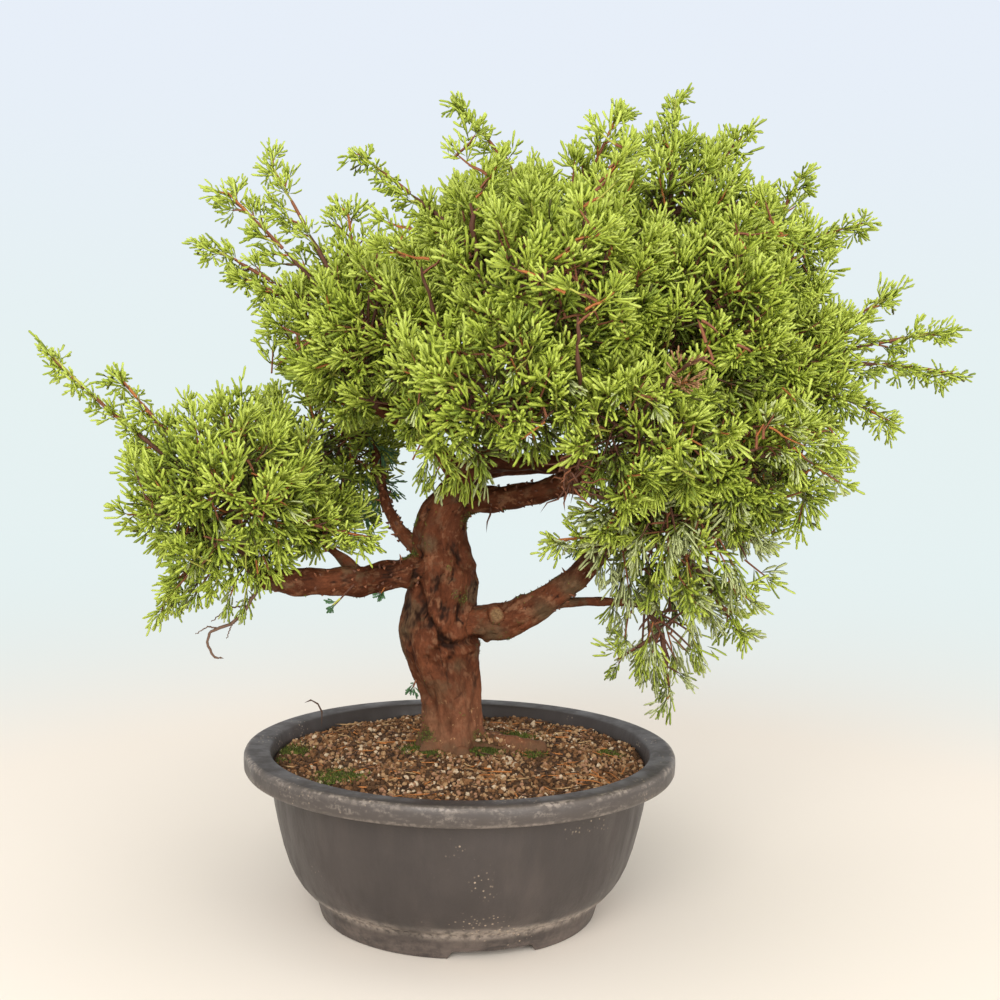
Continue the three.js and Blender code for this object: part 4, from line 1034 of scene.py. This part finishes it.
# Single shoots that show in the photo: mass, size, light, kind, then the start and tip of each
normalKind, cordKind, shadedKind, dryKind = range(4)
extraShoots = [
    ("foliage_front", 0.95, 0.3, cordKind, [((-8, -42, 248), (-13, -36, 228)),
        ((2, -44, 248), (-1, -36, 226)), ((10, -42, 250), (8, -34, 231)), ((-18, -44, 252), (-24, -38, 236)),
        ((-2, -44, 250), (-7, -38, 231)), ((-12, -40, 246), (-19, -34, 230))]),
    ("foliage_right_low", 1.0, 0.75, normalKind, [((82, -36, 228), (62, -47, 217)),
        ((82, -38, 224), (58, -46, 200)), ((80, -36, 230), (84, -48, 212)), ((76, -34, 228), (52, -46, 220)),
        ((84, -38, 222), (74, -50, 203)), ((78, -40, 222), (66, -54, 208))]),
    ("foliage_front_right", 0.7, 0.4, dryKind, [((95, -90, 288), (107, -112, 298.5)),
        ((97, -96, 286), (107, -110, 286)), ((98, -98, 285.5), (103.5, -107, 282))]),
    ("foliage_right_low", 0.9, 0.2, shadedKind, [((88, 16, 214), (58, 12, 192)),
        ((90, 14, 208), (66, 12, 182))]),
    ("foliage_left_back", 1.0, 0.1, shadedKind, [((-62, 50, 262), (-42, 40, 240)),
        ((-60, 46, 242), (-45, 40, 214)), ((-60, 50, 238), (-36, 42, 222)), ((-68, 50, 228), (-54, 42, 202)),
        ((-52, 48, 226), (-66, 40, 208))]),
    ("foliage_left_pad", 0.9, 0.2, normalKind, [((-134, -45, 194), (-156, -45, 172)),
        ((-126, -48, 192), (-144, -48, 169)), ((-121, -50, 195), (-131, -50, 173)),
        ((-105, -52, 195), (-102, -52, 179)), ((-102, -50, 197), (-93, -50, 182)),
        ((-110, -54, 198), (-109, -54, 180)), ((-98, -48, 200), (-86, -50, 188)),
        ((-116, -48, 196), (-119, -50, 178))]),
    ("foliage_left_pad", 0.8, -0.3, cordKind, [((-114, -44, 189), (-123, -44, 163)),
        ((-110, -42, 186), (-114, -42, 160)), ((-130, -40, 190), (-146, -38, 166))]),
    ("foliage_left_inner", 0.45, 0, shadedKind, [((-42, -20, 178), (-46, -20, 170)),
        ((-64, -36, 174), (-71, -38, 166)), ((-25, -6, 126), (-28, -9, 117))]),
]
crownMiddle, crownReach = np.array([55.0, 15.0, 300.0]), np.array([170.0, 120.0, 130.0])
twigTones = {
    "old twig": (0.125, 0.050, 0.028), "brown twig": (0.24, 0.085, 0.038),
    "orange stem": (0.40, 0.135, 0.036), "green stem": (0.42, 0.42, 0.07),
}


# Shapes of one hand of fingers, a unit long towards +X and spread in XY; each finger bends forwards
def handShapes(rng, count, spreadAngle, sideLength):
    fingers = growth["fingers"]
    shapes = np.zeros((count, fingers, 4, 3))
    stages = np.array([0, growth["bendAt"], growth["ringAt"], 1])[:, None]
    forward = np.array([1.0, 0, 0])
    for k in range(count):
        tip = np.array([1.0, *rng.normal(size=2) * 0.07])
        bow = np.array([0, *rng.normal(size=2)]) * 0.28
        shapes[k, 0] = tip * stages + bow * stages * (1 - stages)
        for i in range(1, fingers):
            hand = 1 if (i + k) % 2 else -1
            tilt = rng.normal() * 0.6
            out = np.array([0, hand * math.cos(tilt), math.sin(tilt)])
            if i < fingers - 1:
                at = 0.10 + 0.56 * (i - 1) / (fingers - 3) + rng.normal() * 0.03
                spread = math.radians(spreadAngle * (1.25 - 0.35 * at) + rng.normal() * 6)
                length = sideLength * (1.04 - 0.5 * at) * rng.uniform(0.78, 1.15)
                start = tip * max(0.02, at)
            else:
                foot, far = shapes[k, 2][[0, -1]]
                start = foot + (far - foot) * rng.uniform(0.35, 0.5)
                spread = math.radians(spreadAngle * 1.6 + rng.normal() * 8)
                length = sideLength * rng.uniform(0.42, 0.58)
                out = out if out @ (far - foot) > 0 else -out
            way = forward * math.cos(spread) + out * math.sin(spread)
            curl = forward * rng.uniform(0.25, 0.75) - out * rng.uniform(0.05, 0.35)
            shapes[k, i] = start + (way * stages + curl * stages ** 2) * length
    return shapes


# Bare wood seen inside the crown: cut limbs, a twisted branch and a knot of fine dead twigs
innerWood = {
    "limbs": [((-0.4, -60, 374), (8, -46, 326), 1.4, 2.4, "foliage_crown_left"),
              ((-23.6, -62, 342), (-14, -46, 310), 1.1, 2.0, "foliage_crown_left"),
              ((34, -116, 337.5), (30, -94, 306), 1.1, 2.0, "foliage_front_upper"),
              ((48.5, -125, 314.5), (52, -100, 286), 1.0, 1.9, "foliage_front_right"),
              ((50, -121, 366), (53, -106, 342), 0.8, 1.4, "foliage_front_upper"),
              ((108, -112, 298.5), (95, -88, 287.5), 0.8, 1.4, "foliage_dry"),
              ((145, -70, 257), (127, -62, 250), 0.9, 1.6, "foliage_right_low"),
              ((131, -60, 352), (122, -42, 330), 0.8, 1.5, "foliage_right_inner")],
    "sideTwigs": 5,
    "twisted": [(52, -54, 238), (56.6, -60, 235.9), (64, -60, 231), (70.3, -60, 230.1), (78, -59, 232.8),
                (84.5, -58, 232.3), (95.3, -56, 233.9)],
    "knot": ((52, -78, 242), 10, 42),
    "windows": [((88, -96, 289), 9), ((136, -84, 283), 13), ((60, -80, 263), 6)], "clearRoom": 6,
    "nearest": -128, "roughOn": ["bough_lower_right", "bough_left", "bough_upper_right", "bough_left_back"],
    "hanging": [(13.7, -4, 221), (13.6, -7, 217), (12, -9, 213), (11.6, -9, 207)],
    "spur": [(-58, -27, 180), (-62, -34, 176), (-64.5, -36, 173), (-69, -38, 167.5)],
    "roughCount": 380, "seed": 17,
}


# In front of bare wood only the distance across the photo's line of sight counts
def sightDistance(points, start, end):
    step = end - start
    share = np.clip((points - start) @ step / (step @ step), 0, 1)
    near = start + share[:, None] * step
    away, sight = points - near, unit(near - np.array(growth["viewer"]))
    along = (away * sight).sum(1)
    across = np.linalg.norm(away - along[:, None] * sight, axis=1)
    return np.where(along < 0, across, np.linalg.norm(away, axis=1))


def clearOfLimbs(points):
    clear = np.ones(len(points), bool)
    for centre, room in innerWood["windows"] + [innerWood["knot"][:2]]:
        centre = np.array(centre, float)
        clear &= sightDistance(points, centre, centre + 0.1) > room
    for start, end, _, _, _ in innerWood["limbs"]:
        distance = sightDistance(points, np.array(start, float), np.array(end, float))
        clear &= distance > innerWood["clearRoom"]
    return clear


def evenDirections(count, rng):
    i = np.arange(count)
    height = 1 - 2 * (i + 0.5) / count
    turn = i * growth["goldenAngle"] + (rng.random(count) - 0.5) * 0.6
    out = np.sqrt(1 - height ** 2)
    return np.stack([np.cos(turn) * out, np.sin(turn) * out, height], 1)


def reachIn(name, points):
    _, centre, radii, _ = masses[name]
    return np.linalg.norm((points - np.array(centre)) / np.array(radii), axis=-1)


def bowedLine(start, end, bow, points):
    middle = (start + end) / 2 + np.array([0, 0, bow * np.linalg.norm(end - start)])
    return curveThrough([start, middle, end], np.linspace(0, 1, points))


twigs = {4: [], 7: [], 12: []}   # by number of points: line, radii, tone
hands = []                       # at, way, normal, length, light, owner, kind of hand


def addTwig(line, thickStart, thickEnd, tone):
    key = len(line)
    twigs[key].append((line, np.linspace(thickStart, thickEnd, key), tone))


# A shoot: a young stem with hands of fingers all along it, longest at its foot
def addShoot(rng, start, tip, name, size, light, kind=normalKind):
    length = np.linalg.norm(tip - start)
    sag = -0.10 if kind == normalKind else 0.08
    middle = (start + tip) / 2 + up * sag * length
    last = tip - unit(tip - middle) * growth["bareTip"] * size
    controls = [start, middle, last]
    # Painted shade: the stems of shoots in deep shade get the darkest twig tone
    stemTone = 0 if light < -0.5 else int(rng.choice(4, p=growth["stemShares"]))
    addTwig(curveThrough(controls, np.linspace(0, 1, 4)), *growth["stemThick"], stemTone)
    count = max(3, int(length / growth["handGap"] / (1 if kind == normalKind else 1.3)))
    shares = 0.14 + 0.84 * (np.arange(count) + 0.5) / count
    at = curveThrough(controls, shares)
    along = unit(curveThrough(controls, shares + 0.02) - curveThrough(controls, shares - 0.02))
    aside = unit(np.cross(along, up + rng.normal(size=3) * 0.2))
    above = np.cross(aside, along)
    turn = (np.arange(count) * growth["goldenAngle"] + rng.random() * 6.3)[:, None]
    side = aside * np.cos(turn) + above * np.sin(turn) * 0.8
    spread = np.radians((32 if kind == cordKind else 52) - 22 * shares + rng.normal(size=count) * 6)[:, None]
    way = unit(along * np.cos(spread) + side * np.sin(spread) + up * (-0.25 if kind == cordKind else 0.10))
    lengths = rng.uniform(*growth["handLength"], count) * size * (1.10 - 0.52 * shares)
    if kind == cordKind:
        lengths = lengths * 1.2
    # Painted light: hands nearer the shoot's end and facing up are lit more
    lit = light + 0.35 * (shares - 0.5) + 0.25 * way[:, 2] + rng.normal(size=count) * 0.16
    normal = np.cross(along, side) + rng.normal(size=(count, 3)) * 0.45
    owner = list(masses).index(name)
    hands.append((at, way, normal, lengths, lit, np.full(count, owner), np.full(count, kind)))
    endWay = unit(tip - last)[None]
    hands.append((last[None] - endWay * 2, endWay, rng.normal(size=(1, 3)),
                  *(np.array([value]) for value in (growth["endHand"] * size, light + 0.45, owner, kind))))


def growMass(name):
    limbName, centre, radii, leaders = masses[name]
    centre, radii = np.array(centre, float), np.array(radii, float)
    seed = growth["firstSeed"] + list(masses).index(name)
    rng = np.random.default_rng(seed)
    limb = limbs[limbName]
    root = limb["tip"] + limb["way"] * 0.3
    heart = root + (centre - root) * 0.85
    limbRadius = limb["radii"][-1]
    stem = curveThrough([limb["tip"] - limb["way"] * 2, root + limb["way"] * 8, heart], np.linspace(0, 1, 12))
    addTwig(stem, limbRadius * 0.95, 0.6 if name in openMasses else 1.2, 0)
    nodes = [stem[4:]]
    for way in evenDirections(growth["primaries"], rng):
        start = stem[int(4 + 7.9 * rng.random())]
        line = bowedLine(start, centre + way * radii * growth["primaryReach"], 0.12, 7)
        addTwig(line, *((0.8, 0.5) if name in openMasses else (1.15, 0.7)), 0)
        nodes.append(line[2:])
    nodes = np.concatenate(nodes)
    total = int(4 * math.pi * np.prod(radii) ** (2 / 3) * growth["shootsPerArea"])
    inner = int(total * growth["innerShare"])
    targets = []
    for count, (low, high) in ((inner, growth["innerReach"]), (total - inner, growth["outerReach"])):
        ways = evenDirections(count, rng)
        dips = [noise.noise(Vector(way * growth["hollowSize"] + seed)) for way in ways]
        dips = np.clip(-1.7 * np.array(dips), 0, 1)[:, None]
        reach = (low + (high - low) * rng.random((count, 1))) * (1 - growth["hollow"] * dips)
        targets.append(centre + ways * radii * reach)
    tips = np.concatenate(targets)
    tips = tips[rng.random(len(tips)) < openMasses.get(name, 1.0)]
    tips = tips[clearOfLimbs(tips)]
    tips = tips[np.argsort(reachIn(name, tips))]
    others = np.min([reachIn(other, tips) for other in masses if other != name], axis=0)
    tips = tips[others > growth["hiddenReach"]]
    for tip in tips:
        reach = float(reachIn(name, tip))
        out = unit((tip - centre) / radii)
        corded = rng.random() < cordShare.get(name, 0) and (out[2] < 0.5 or name == "foliage_right_hanging")
        kind = cordKind if corded else normalKind
        lift = -0.5 if corded else 0.28 + 0.22 * out[2]
        wide = unit((tip - crownMiddle) / crownReach) if not name.startswith("foliage_left") else out
        way = unit(out * 0.55 + wide * 0.4 + up * lift + rng.normal(size=3) * 0.3)
        start = tip - way * rng.uniform(*growth["shootLength"])
        nearest = nodes[np.argmin(np.linalg.norm(nodes - start, axis=1))]
        line = bowedLine(nearest, start + way * 2, 0.08, 4)
        addTwig(line, 0.75, 0.55, int(rng.random() < 0.6))
        nodes = np.concatenate([nodes, line[1:]])
        # Painted light and shade: a shoot is lighter at the outside of its mass, facing up and high in the
        # crown, and lighter again in the pale and bright masses
        crown = (tip[2] - 300) / 130
        light = 2.0 * (reach - 0.92) + 0.2 * out[2] + 0.1 * crown + rng.normal() * growth["lightSpread"]
        if name in paleAndLitMasses:
            light += growth["paleLight"]
        elif name in litMasses:
            light += growth["brightLight"]
        addShoot(rng, start, tip, name, 1.0, light, kind)
    kind = cordKind if name == "foliage_right_hanging" else normalKind
    for number, (tip, bow, fan) in enumerate(leaders):
        growLeader(rng, name, heart, np.array(tip, float), bow, fan, number, kind)


# A leader: a long young branch that stands out of its mass, with side shoots to both hands
def growLeader(rng, name, heart, tip, bow, fan, number, kind):
    length = np.linalg.norm(tip - heart)
    controls = [heart, heart + (tip - heart) * 0.55 + up * bow * length, tip]
    line = curveThrough(controls, np.linspace(0, 1, 12))
    addTwig(line[:7], 1.7, 1.15, 0)
    addTwig(curveThrough(controls, np.linspace(0.54, 0.78, 4)), 1.15, 0.9, 1)
    addTwig(curveThrough(controls, np.linspace(0.76, 0.97, 4)), 0.9, 0.5, 2 if number % 2 else 3)
    count = int(length * 0.66 / growth["leaderStep"])
    for i in range(count):
        share = 0.34 + 0.62 * (i + 0.5) / count
        at, ahead = curveThrough(controls, [share, share + 0.02])
        along = unit(ahead - at)
        aside = unit(np.cross(along, up))
        turn = i * math.pi + rng.normal() * 0.8
        side = aside * math.cos(turn) + np.cross(aside, along) * math.sin(turn)
        taper = 1 - (1 - share) * (1 - share)
        size = rng.uniform(*growth["leaderSide"]) * (1.1 - 0.75 * share) * (1 + (fan - 1) * taper)
        end = at + unit(along * (1.25 - 0.45 * fan) + side * 0.62 + up * 0.14) * size
        addShoot(rng, at, end, name, 0.62 + 0.012 * size, 0.25 + rng.normal() * 0.3, kind)
    addShoot(rng, curveThrough(controls, [0.8])[0], tip, name, 0.4 + 0.45 * fan, 0.5, kind)


for name in masses:
    growMass(name)
extraRandom = np.random.default_rng(growth["extraSeed"])
for name, size, light, kind, places in extraShoots:
    for start, tip in places:
        addShoot(extraRandom, np.array(start, float), np.array(tip, float), name, size, light, kind)
print("shoots grown:", len(hands) // 2)


def makeLeaves():
    rng = np.random.default_rng(growth["seed"])
    shapes = np.concatenate([handShapes(rng, growth["shapes"], *growth["wideHand"]),
                             handShapes(rng, growth["narrowShapes"], *growth["narrowHand"])])
    materials = plainMaterials("", leafTones, 0.45, 0.22)
    tone = {name: number for number, name in enumerate(leafTones)}
    at, way, normal, length, lit, owner, kind = [np.concatenate(column) for column in zip(*hands)]
    count, fingers = len(at), growth["fingers"]
    z = unit(normal - way * (normal * way).sum(1)[:, None])
    y = np.cross(z, way)
    turn = np.stack([way, y, z], 2) * length[:, None, None]
    which = np.where(kind > normalKind, growth["shapes"] + rng.integers(0, growth["narrowShapes"], count),
                     rng.integers(0, growth["shapes"], count))
    lines = np.einsum("nij,nfkj->nfki", turn, shapes[which]) + at[:, None, None, :]
    thick = growth["fingerRadius"] * rng.uniform(0.82, 1.15, (count, fingers))
    thick *= np.clip(length / 15, 0.82, 1.08)[:, None]
    thick *= np.where(kind > normalKind, growth["narrowThick"], 1.0)[:, None]

    # Tone of each hand from how much light reaches it, with most tips a step brighter
    base = tone["leaf inner shade"] - sum(lit > step for step in growth["toneSteps"])
    darker = rng.random((count, fingers)) < growth["darkerShare"]
    slots = np.clip(base[:, None] + darker, tone["leaf bright"], tone["leaf inner shade"])
    tipSlots = np.where(rng.random((count, fingers)) < growth["tipShare"], slots - 1, slots)
    inPale = np.isin(owner, [list(masses).index(name) for name in paleAndLitMasses])
    shares = np.array(growth["paleShares"])[(kind == cordKind).astype(int), inPale.astype(int)]
    grey = ((rng.random(count) < shares) & (base < tone["leaf inner shade"]))[:, None]
    slots = np.where(grey, tone["leaf grey"], slots)
    tipSlots = np.where(grey, tone["leaf grey tip"], tipSlots)
    for special, name in ((shadedKind, "leaf shaded"), (dryKind, "leaf dry")):
        chosen = (kind == special)[:, None]
        slots, tipSlots = np.where(chosen, tone[name], slots), np.where(chosen, tone[name], tipSlots)
    for pieceName, members in leafPieces.items():
        chosen = np.isin(owner, [list(masses).index(name) for name in members])
        part = lines[chosen].reshape(-1, 4, 3)
        size = thick[chosen].reshape(-1)
        corners, triangles, each = fingerTubes(part, np.stack([size * 0.9, size], 1))
        faceSlots = np.repeat(slots[chosen].reshape(-1, 1), each, axis=1)
        faceSlots[:, 3:] = tipSlots[chosen].reshape(-1, 1)
        piece = meshFrom(pieceName, onAxis(corners), triangles, materials, faceSlots.ravel())
        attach(piece, "root")
        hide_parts(*members)
        print(pieceName, "done:", len(triangles), "triangles")


def addInnerWood():
    rng = np.random.default_rng(innerWood["seed"])
    for start, end, thin, thick, owner in innerWood["limbs"]:
        start, end = np.array(start, float), np.array(end, float)
        line = bowedLine(start, start + (end - start) * 1.3, 0.05, 12)
        line[1:-1] += rng.normal(size=(10, 3)) * 0.8
        twigs[12].append((line, np.linspace(thin, thick, 12) * (0.72 + 0.16 * rng.normal(size=12)), 0))
        along = unit(start - end)
        for i in range(innerWood["sideTwigs"]):
            at = start + (end - start) * (0.02 + 0.8 * (i + 0.6 * rng.random()) / innerWood["sideTwigs"])
            aside = unit(np.cross(along, [0, 1.0, 0])) * rng.choice([-1, 1])
            way = unit(aside + along * rng.uniform(0.3, 0.9) + np.array([0, rng.uniform(-0.1, 0.4), 0]))
            tip = at + way * rng.uniform(5, 12)
            addTwig(bowedLine(at, tip, 0.14, 4), 0.95, 0.6, 1 + int(rng.random() < 0.35))
            end = tip + unit(way + along * 0.8) * rng.uniform(13, 19)
            end[1] = max(end[1], innerWood["nearest"])
            if owner != "foliage_dry":
                addShoot(rng, tip - way * 4, end, owner, 0.85, 0.3)
    addTwig(np.array(innerWood["twisted"], float), 1.4, 0.7, 0)
    centre, radius, count = innerWood["knot"]
    for i in range(count):
        start = np.array(centre) + rng.normal(size=3) * radius * 0.45
        way = unit(rng.normal(size=3) * [1, 0.6, 1])
        line = start + way * np.linspace(0, rng.uniform(8, 19), 4)[:, None]
        line[1:] += rng.normal(size=(3, 3)) * 0.9
        addTwig(line, 0.65, 0.35, int(rng.random() < 0.35))
    for key in ("hanging", "spur"):
        addTwig(np.array(innerWood[key], float), 0.8, 0.3, 0)

    # Short spurs and lifted flakes on the lower boughs
    names = innerWood["roughOn"]
    for i in range(innerWood["roughCount"]):
        limb = limbs[names[i % len(names)]]
        j = rng.integers(3, len(limb["points"]) - 1)
        ahead = unit(limb["points"][j] - limb["points"][j - 1])
        out = unit(np.cross(ahead, rng.normal(size=3)))
        start = limb["points"][j] + out * limb["radii"][j] * 0.93
        spur = rng.random() < 0.2
        reach = rng.uniform(1.8, 4.2) if spur else rng.uniform(1.1, 2.2)
        way = unit(out + ahead * rng.uniform(0.2, 1.6))
        line = start + way * np.linspace(0, reach, 4)[:, None]
        addTwig(line, 0.8 if spur else 1.1, 0.3, int(rng.random() < 0.4))


def makeTwigs():
    parts, slots = [], []
    for key, members in twigs.items():
        lines, radii, tones = zip(*members)
        parts.append(pointedTubes(lines, radii, 3 if key == 4 else 5))
        slots.append(np.repeat(tones, parts[-1][2]))
    corners, triangles = joined(parts)
    materials = plainMaterials("", twigTones, 0.75)
    piece = meshFrom("twigs", onAxis(corners), triangles, materials, np.concatenate(slots))
    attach(piece, "root")
    print("twigs done:", len(triangles), "triangles")


addInnerWood()
makeLeaves()
makeTwigs()

# Bare twigs that hang under the left pad
deadTwigs = {
    "lines": [
        [(-101, -36, 183), (-106.6, -38, 178), (-109, -39, 173), (-115.7, -41, 163), (-124, -42, 158.5),
         (-130, -43, 157), (-131, -43, 150), (-127.5, -43, 143.4), (-122.3, -43, 143)],
        [(-115.7, -41, 163), (-119, -42, 160), (-121, -43, 153)],
        [(-112, -40, 170), (-122, -36, 168), (-131, -33, 160)],
        [(-126, -42, 158.2), (-130, -46, 160), (-136, -48, 156)],
        [(-107, -37, 177), (-112, -32, 172), (-119, -29, 170)],
    ],
    "radii": [1.15, 0.5, 0.55, 0.5, 0.5], "points": 26, "waves": [2.1, 1.3, 1.7], "waveSize": 0.3,
}


def makeDeadTwigs():
    parts, count = [], deadTwigs["points"]
    for line, radius in zip(deadTwigs["lines"], deadTwigs["radii"]):
        knots = np.array(line, float)
        shares = np.linspace(0, len(knots) - 1, count)
        soft = softened(np.stack([np.interp(shares, range(len(knots)), knots[:, j]) for j in range(3)], 1))
        turns = np.arange(count - 2)[:, None] * np.array(deadTwigs["waves"])
        soft[1:-1] += np.sin(turns) * deadTwigs["waveSize"]
        parts.append(pointedTubes(soft[None], np.linspace(radius, radius * 0.5, count)[None], 6))
    corners, triangles = joined(parts)
    material = plainMaterial("bare twig", bark["dead"], 0.85)
    piece = meshFrom("dead_twigs", onAxis(corners), triangles, [material])
    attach(piece, "root")
    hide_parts("dead_twig_left")


makeDeadTwigs()

# Stage, light and camera
stage = {
    "floorRadius": 9.0, "floorHeight": -0.0003, "aim": (0, 0, 0.24), "skyBand": (-0.01, 0.30),
    "floorColour": (0.89, 0.805, 0.70), "nearestBlend": 2.4, "farthestBlend": 0.4,
    "skyLow": (0.79, 0.882, 0.885), "skyHigh": (0.80, 0.86, 0.945), "ambient": (0.77, 0.78, 0.79),
    "lights": [("key", (-0.5, -1.9, 1.05), 1.2, 30), ("top", (0.1, -0.3, 1.95), 1.2, 5),
               ("fill", (1.1, -1.6, 0.3), 1.2, 21)],
}


def makeFloorMaterial():
    material, tree, shader = newMaterial("pale floor", 0.9, 0.1)
    shader.inputs["Base Color"].default_value = (*stage["floorColour"], 1)
    glow = addNode(tree, "ShaderNodeEmission", {"Color": (*stage["skyLow"], 1)})
    closeness = mathNode(tree, "DIVIDE", 1.0, vectorLength(tree, objectPlace(tree)))
    blend = addNode(tree, "ShaderNodeMixShader", {
        0: band(tree, closeness, stage["nearestBlend"], stage["farthestBlend"]), 1: shader.outputs[0],
        2: glow.outputs[0]})
    tree.links.new(blend.outputs[0], tree.nodes["Material Output"].inputs["Surface"])
    return material


def makeStage():
    deselect()
    bpy.ops.mesh.primitive_circle_add(vertices=96, radius=stage["floorRadius"], fill_type="NGON",
                                      location=(0, 0, stage["floorHeight"]))
    floor = bpy.context.object
    floor.name = "floor"
    floor.data.materials.append(makeFloorMaterial())
    world = bpy.data.worlds.new("studio")
    scene.world = world
    world.use_nodes = True
    tree = world.node_tree
    sky = tree.nodes["Background"]
    climb = heightOf(tree, addNode(tree, "ShaderNodeTexCoord").outputs["Generated"])
    seen = mixColours(tree, band(tree, climb, *stage["skyBand"]), stage["skyLow"], stage["skyHigh"])
    direct = addNode(tree, "ShaderNodeLightPath").outputs["Is Camera Ray"]
    tree.links.new(mixColours(tree, direct, stage["ambient"], seen), sky.inputs["Color"])
    aim = Vector(stage["aim"])
    for name, place, size, power in stage["lights"]:
        lamp = bpy.data.lights.new(name, "AREA")
        lamp.size = size
        lamp.energy = power
        holder = bpy.data.objects.new(name, lamp)
        holder.location = place
        holder.rotation_euler = (aim - Vector(place)).to_track_quat("-Z", "Y").to_euler()
        scene.collection.objects.link(holder)
    scene.view_settings.view_transform = "Standard"


# The photo's camera: place in millimetres, turns in radians
view = {"distance": 699.59, "height": 266.68, "pitch": 0.0602, "yaw": 0.0270, "roll": 0.0202,
        "lens": 46.24, "sensor": 36, "nearest": 0.01}


def makeCamera():
    camera = bpy.data.objects.new("camera", bpy.data.cameras.new("camera"))
    scene.collection.objects.link(camera)
    camera.data.sensor_width = view["sensor"]
    camera.data.lens = view["lens"]
    camera.data.clip_start = view["nearest"]
    level = np.array([math.cos(view["yaw"]), -math.sin(view["yaw"]), 0])
    ahead = np.array([math.sin(view["yaw"]), math.cos(view["yaw"]), 0])
    forward = ahead * math.cos(view["pitch"]) - up * math.sin(view["pitch"])
    rise = ahead * math.sin(view["pitch"]) + up * math.cos(view["pitch"])
    right = level * math.cos(view["roll"]) + rise * math.sin(view["roll"])
    top = -level * math.sin(view["roll"]) + rise * math.cos(view["roll"])
    turn = Matrix(np.stack([right, top, -forward], 1).tolist()).to_4x4()
    place = onAxis([0, -view["distance"], view["height"]])
    camera.matrix_world = Matrix.Translation(Vector(place)) @ turn
    scene.camera = camera


makeStage()
makeCamera()
print("stage done")
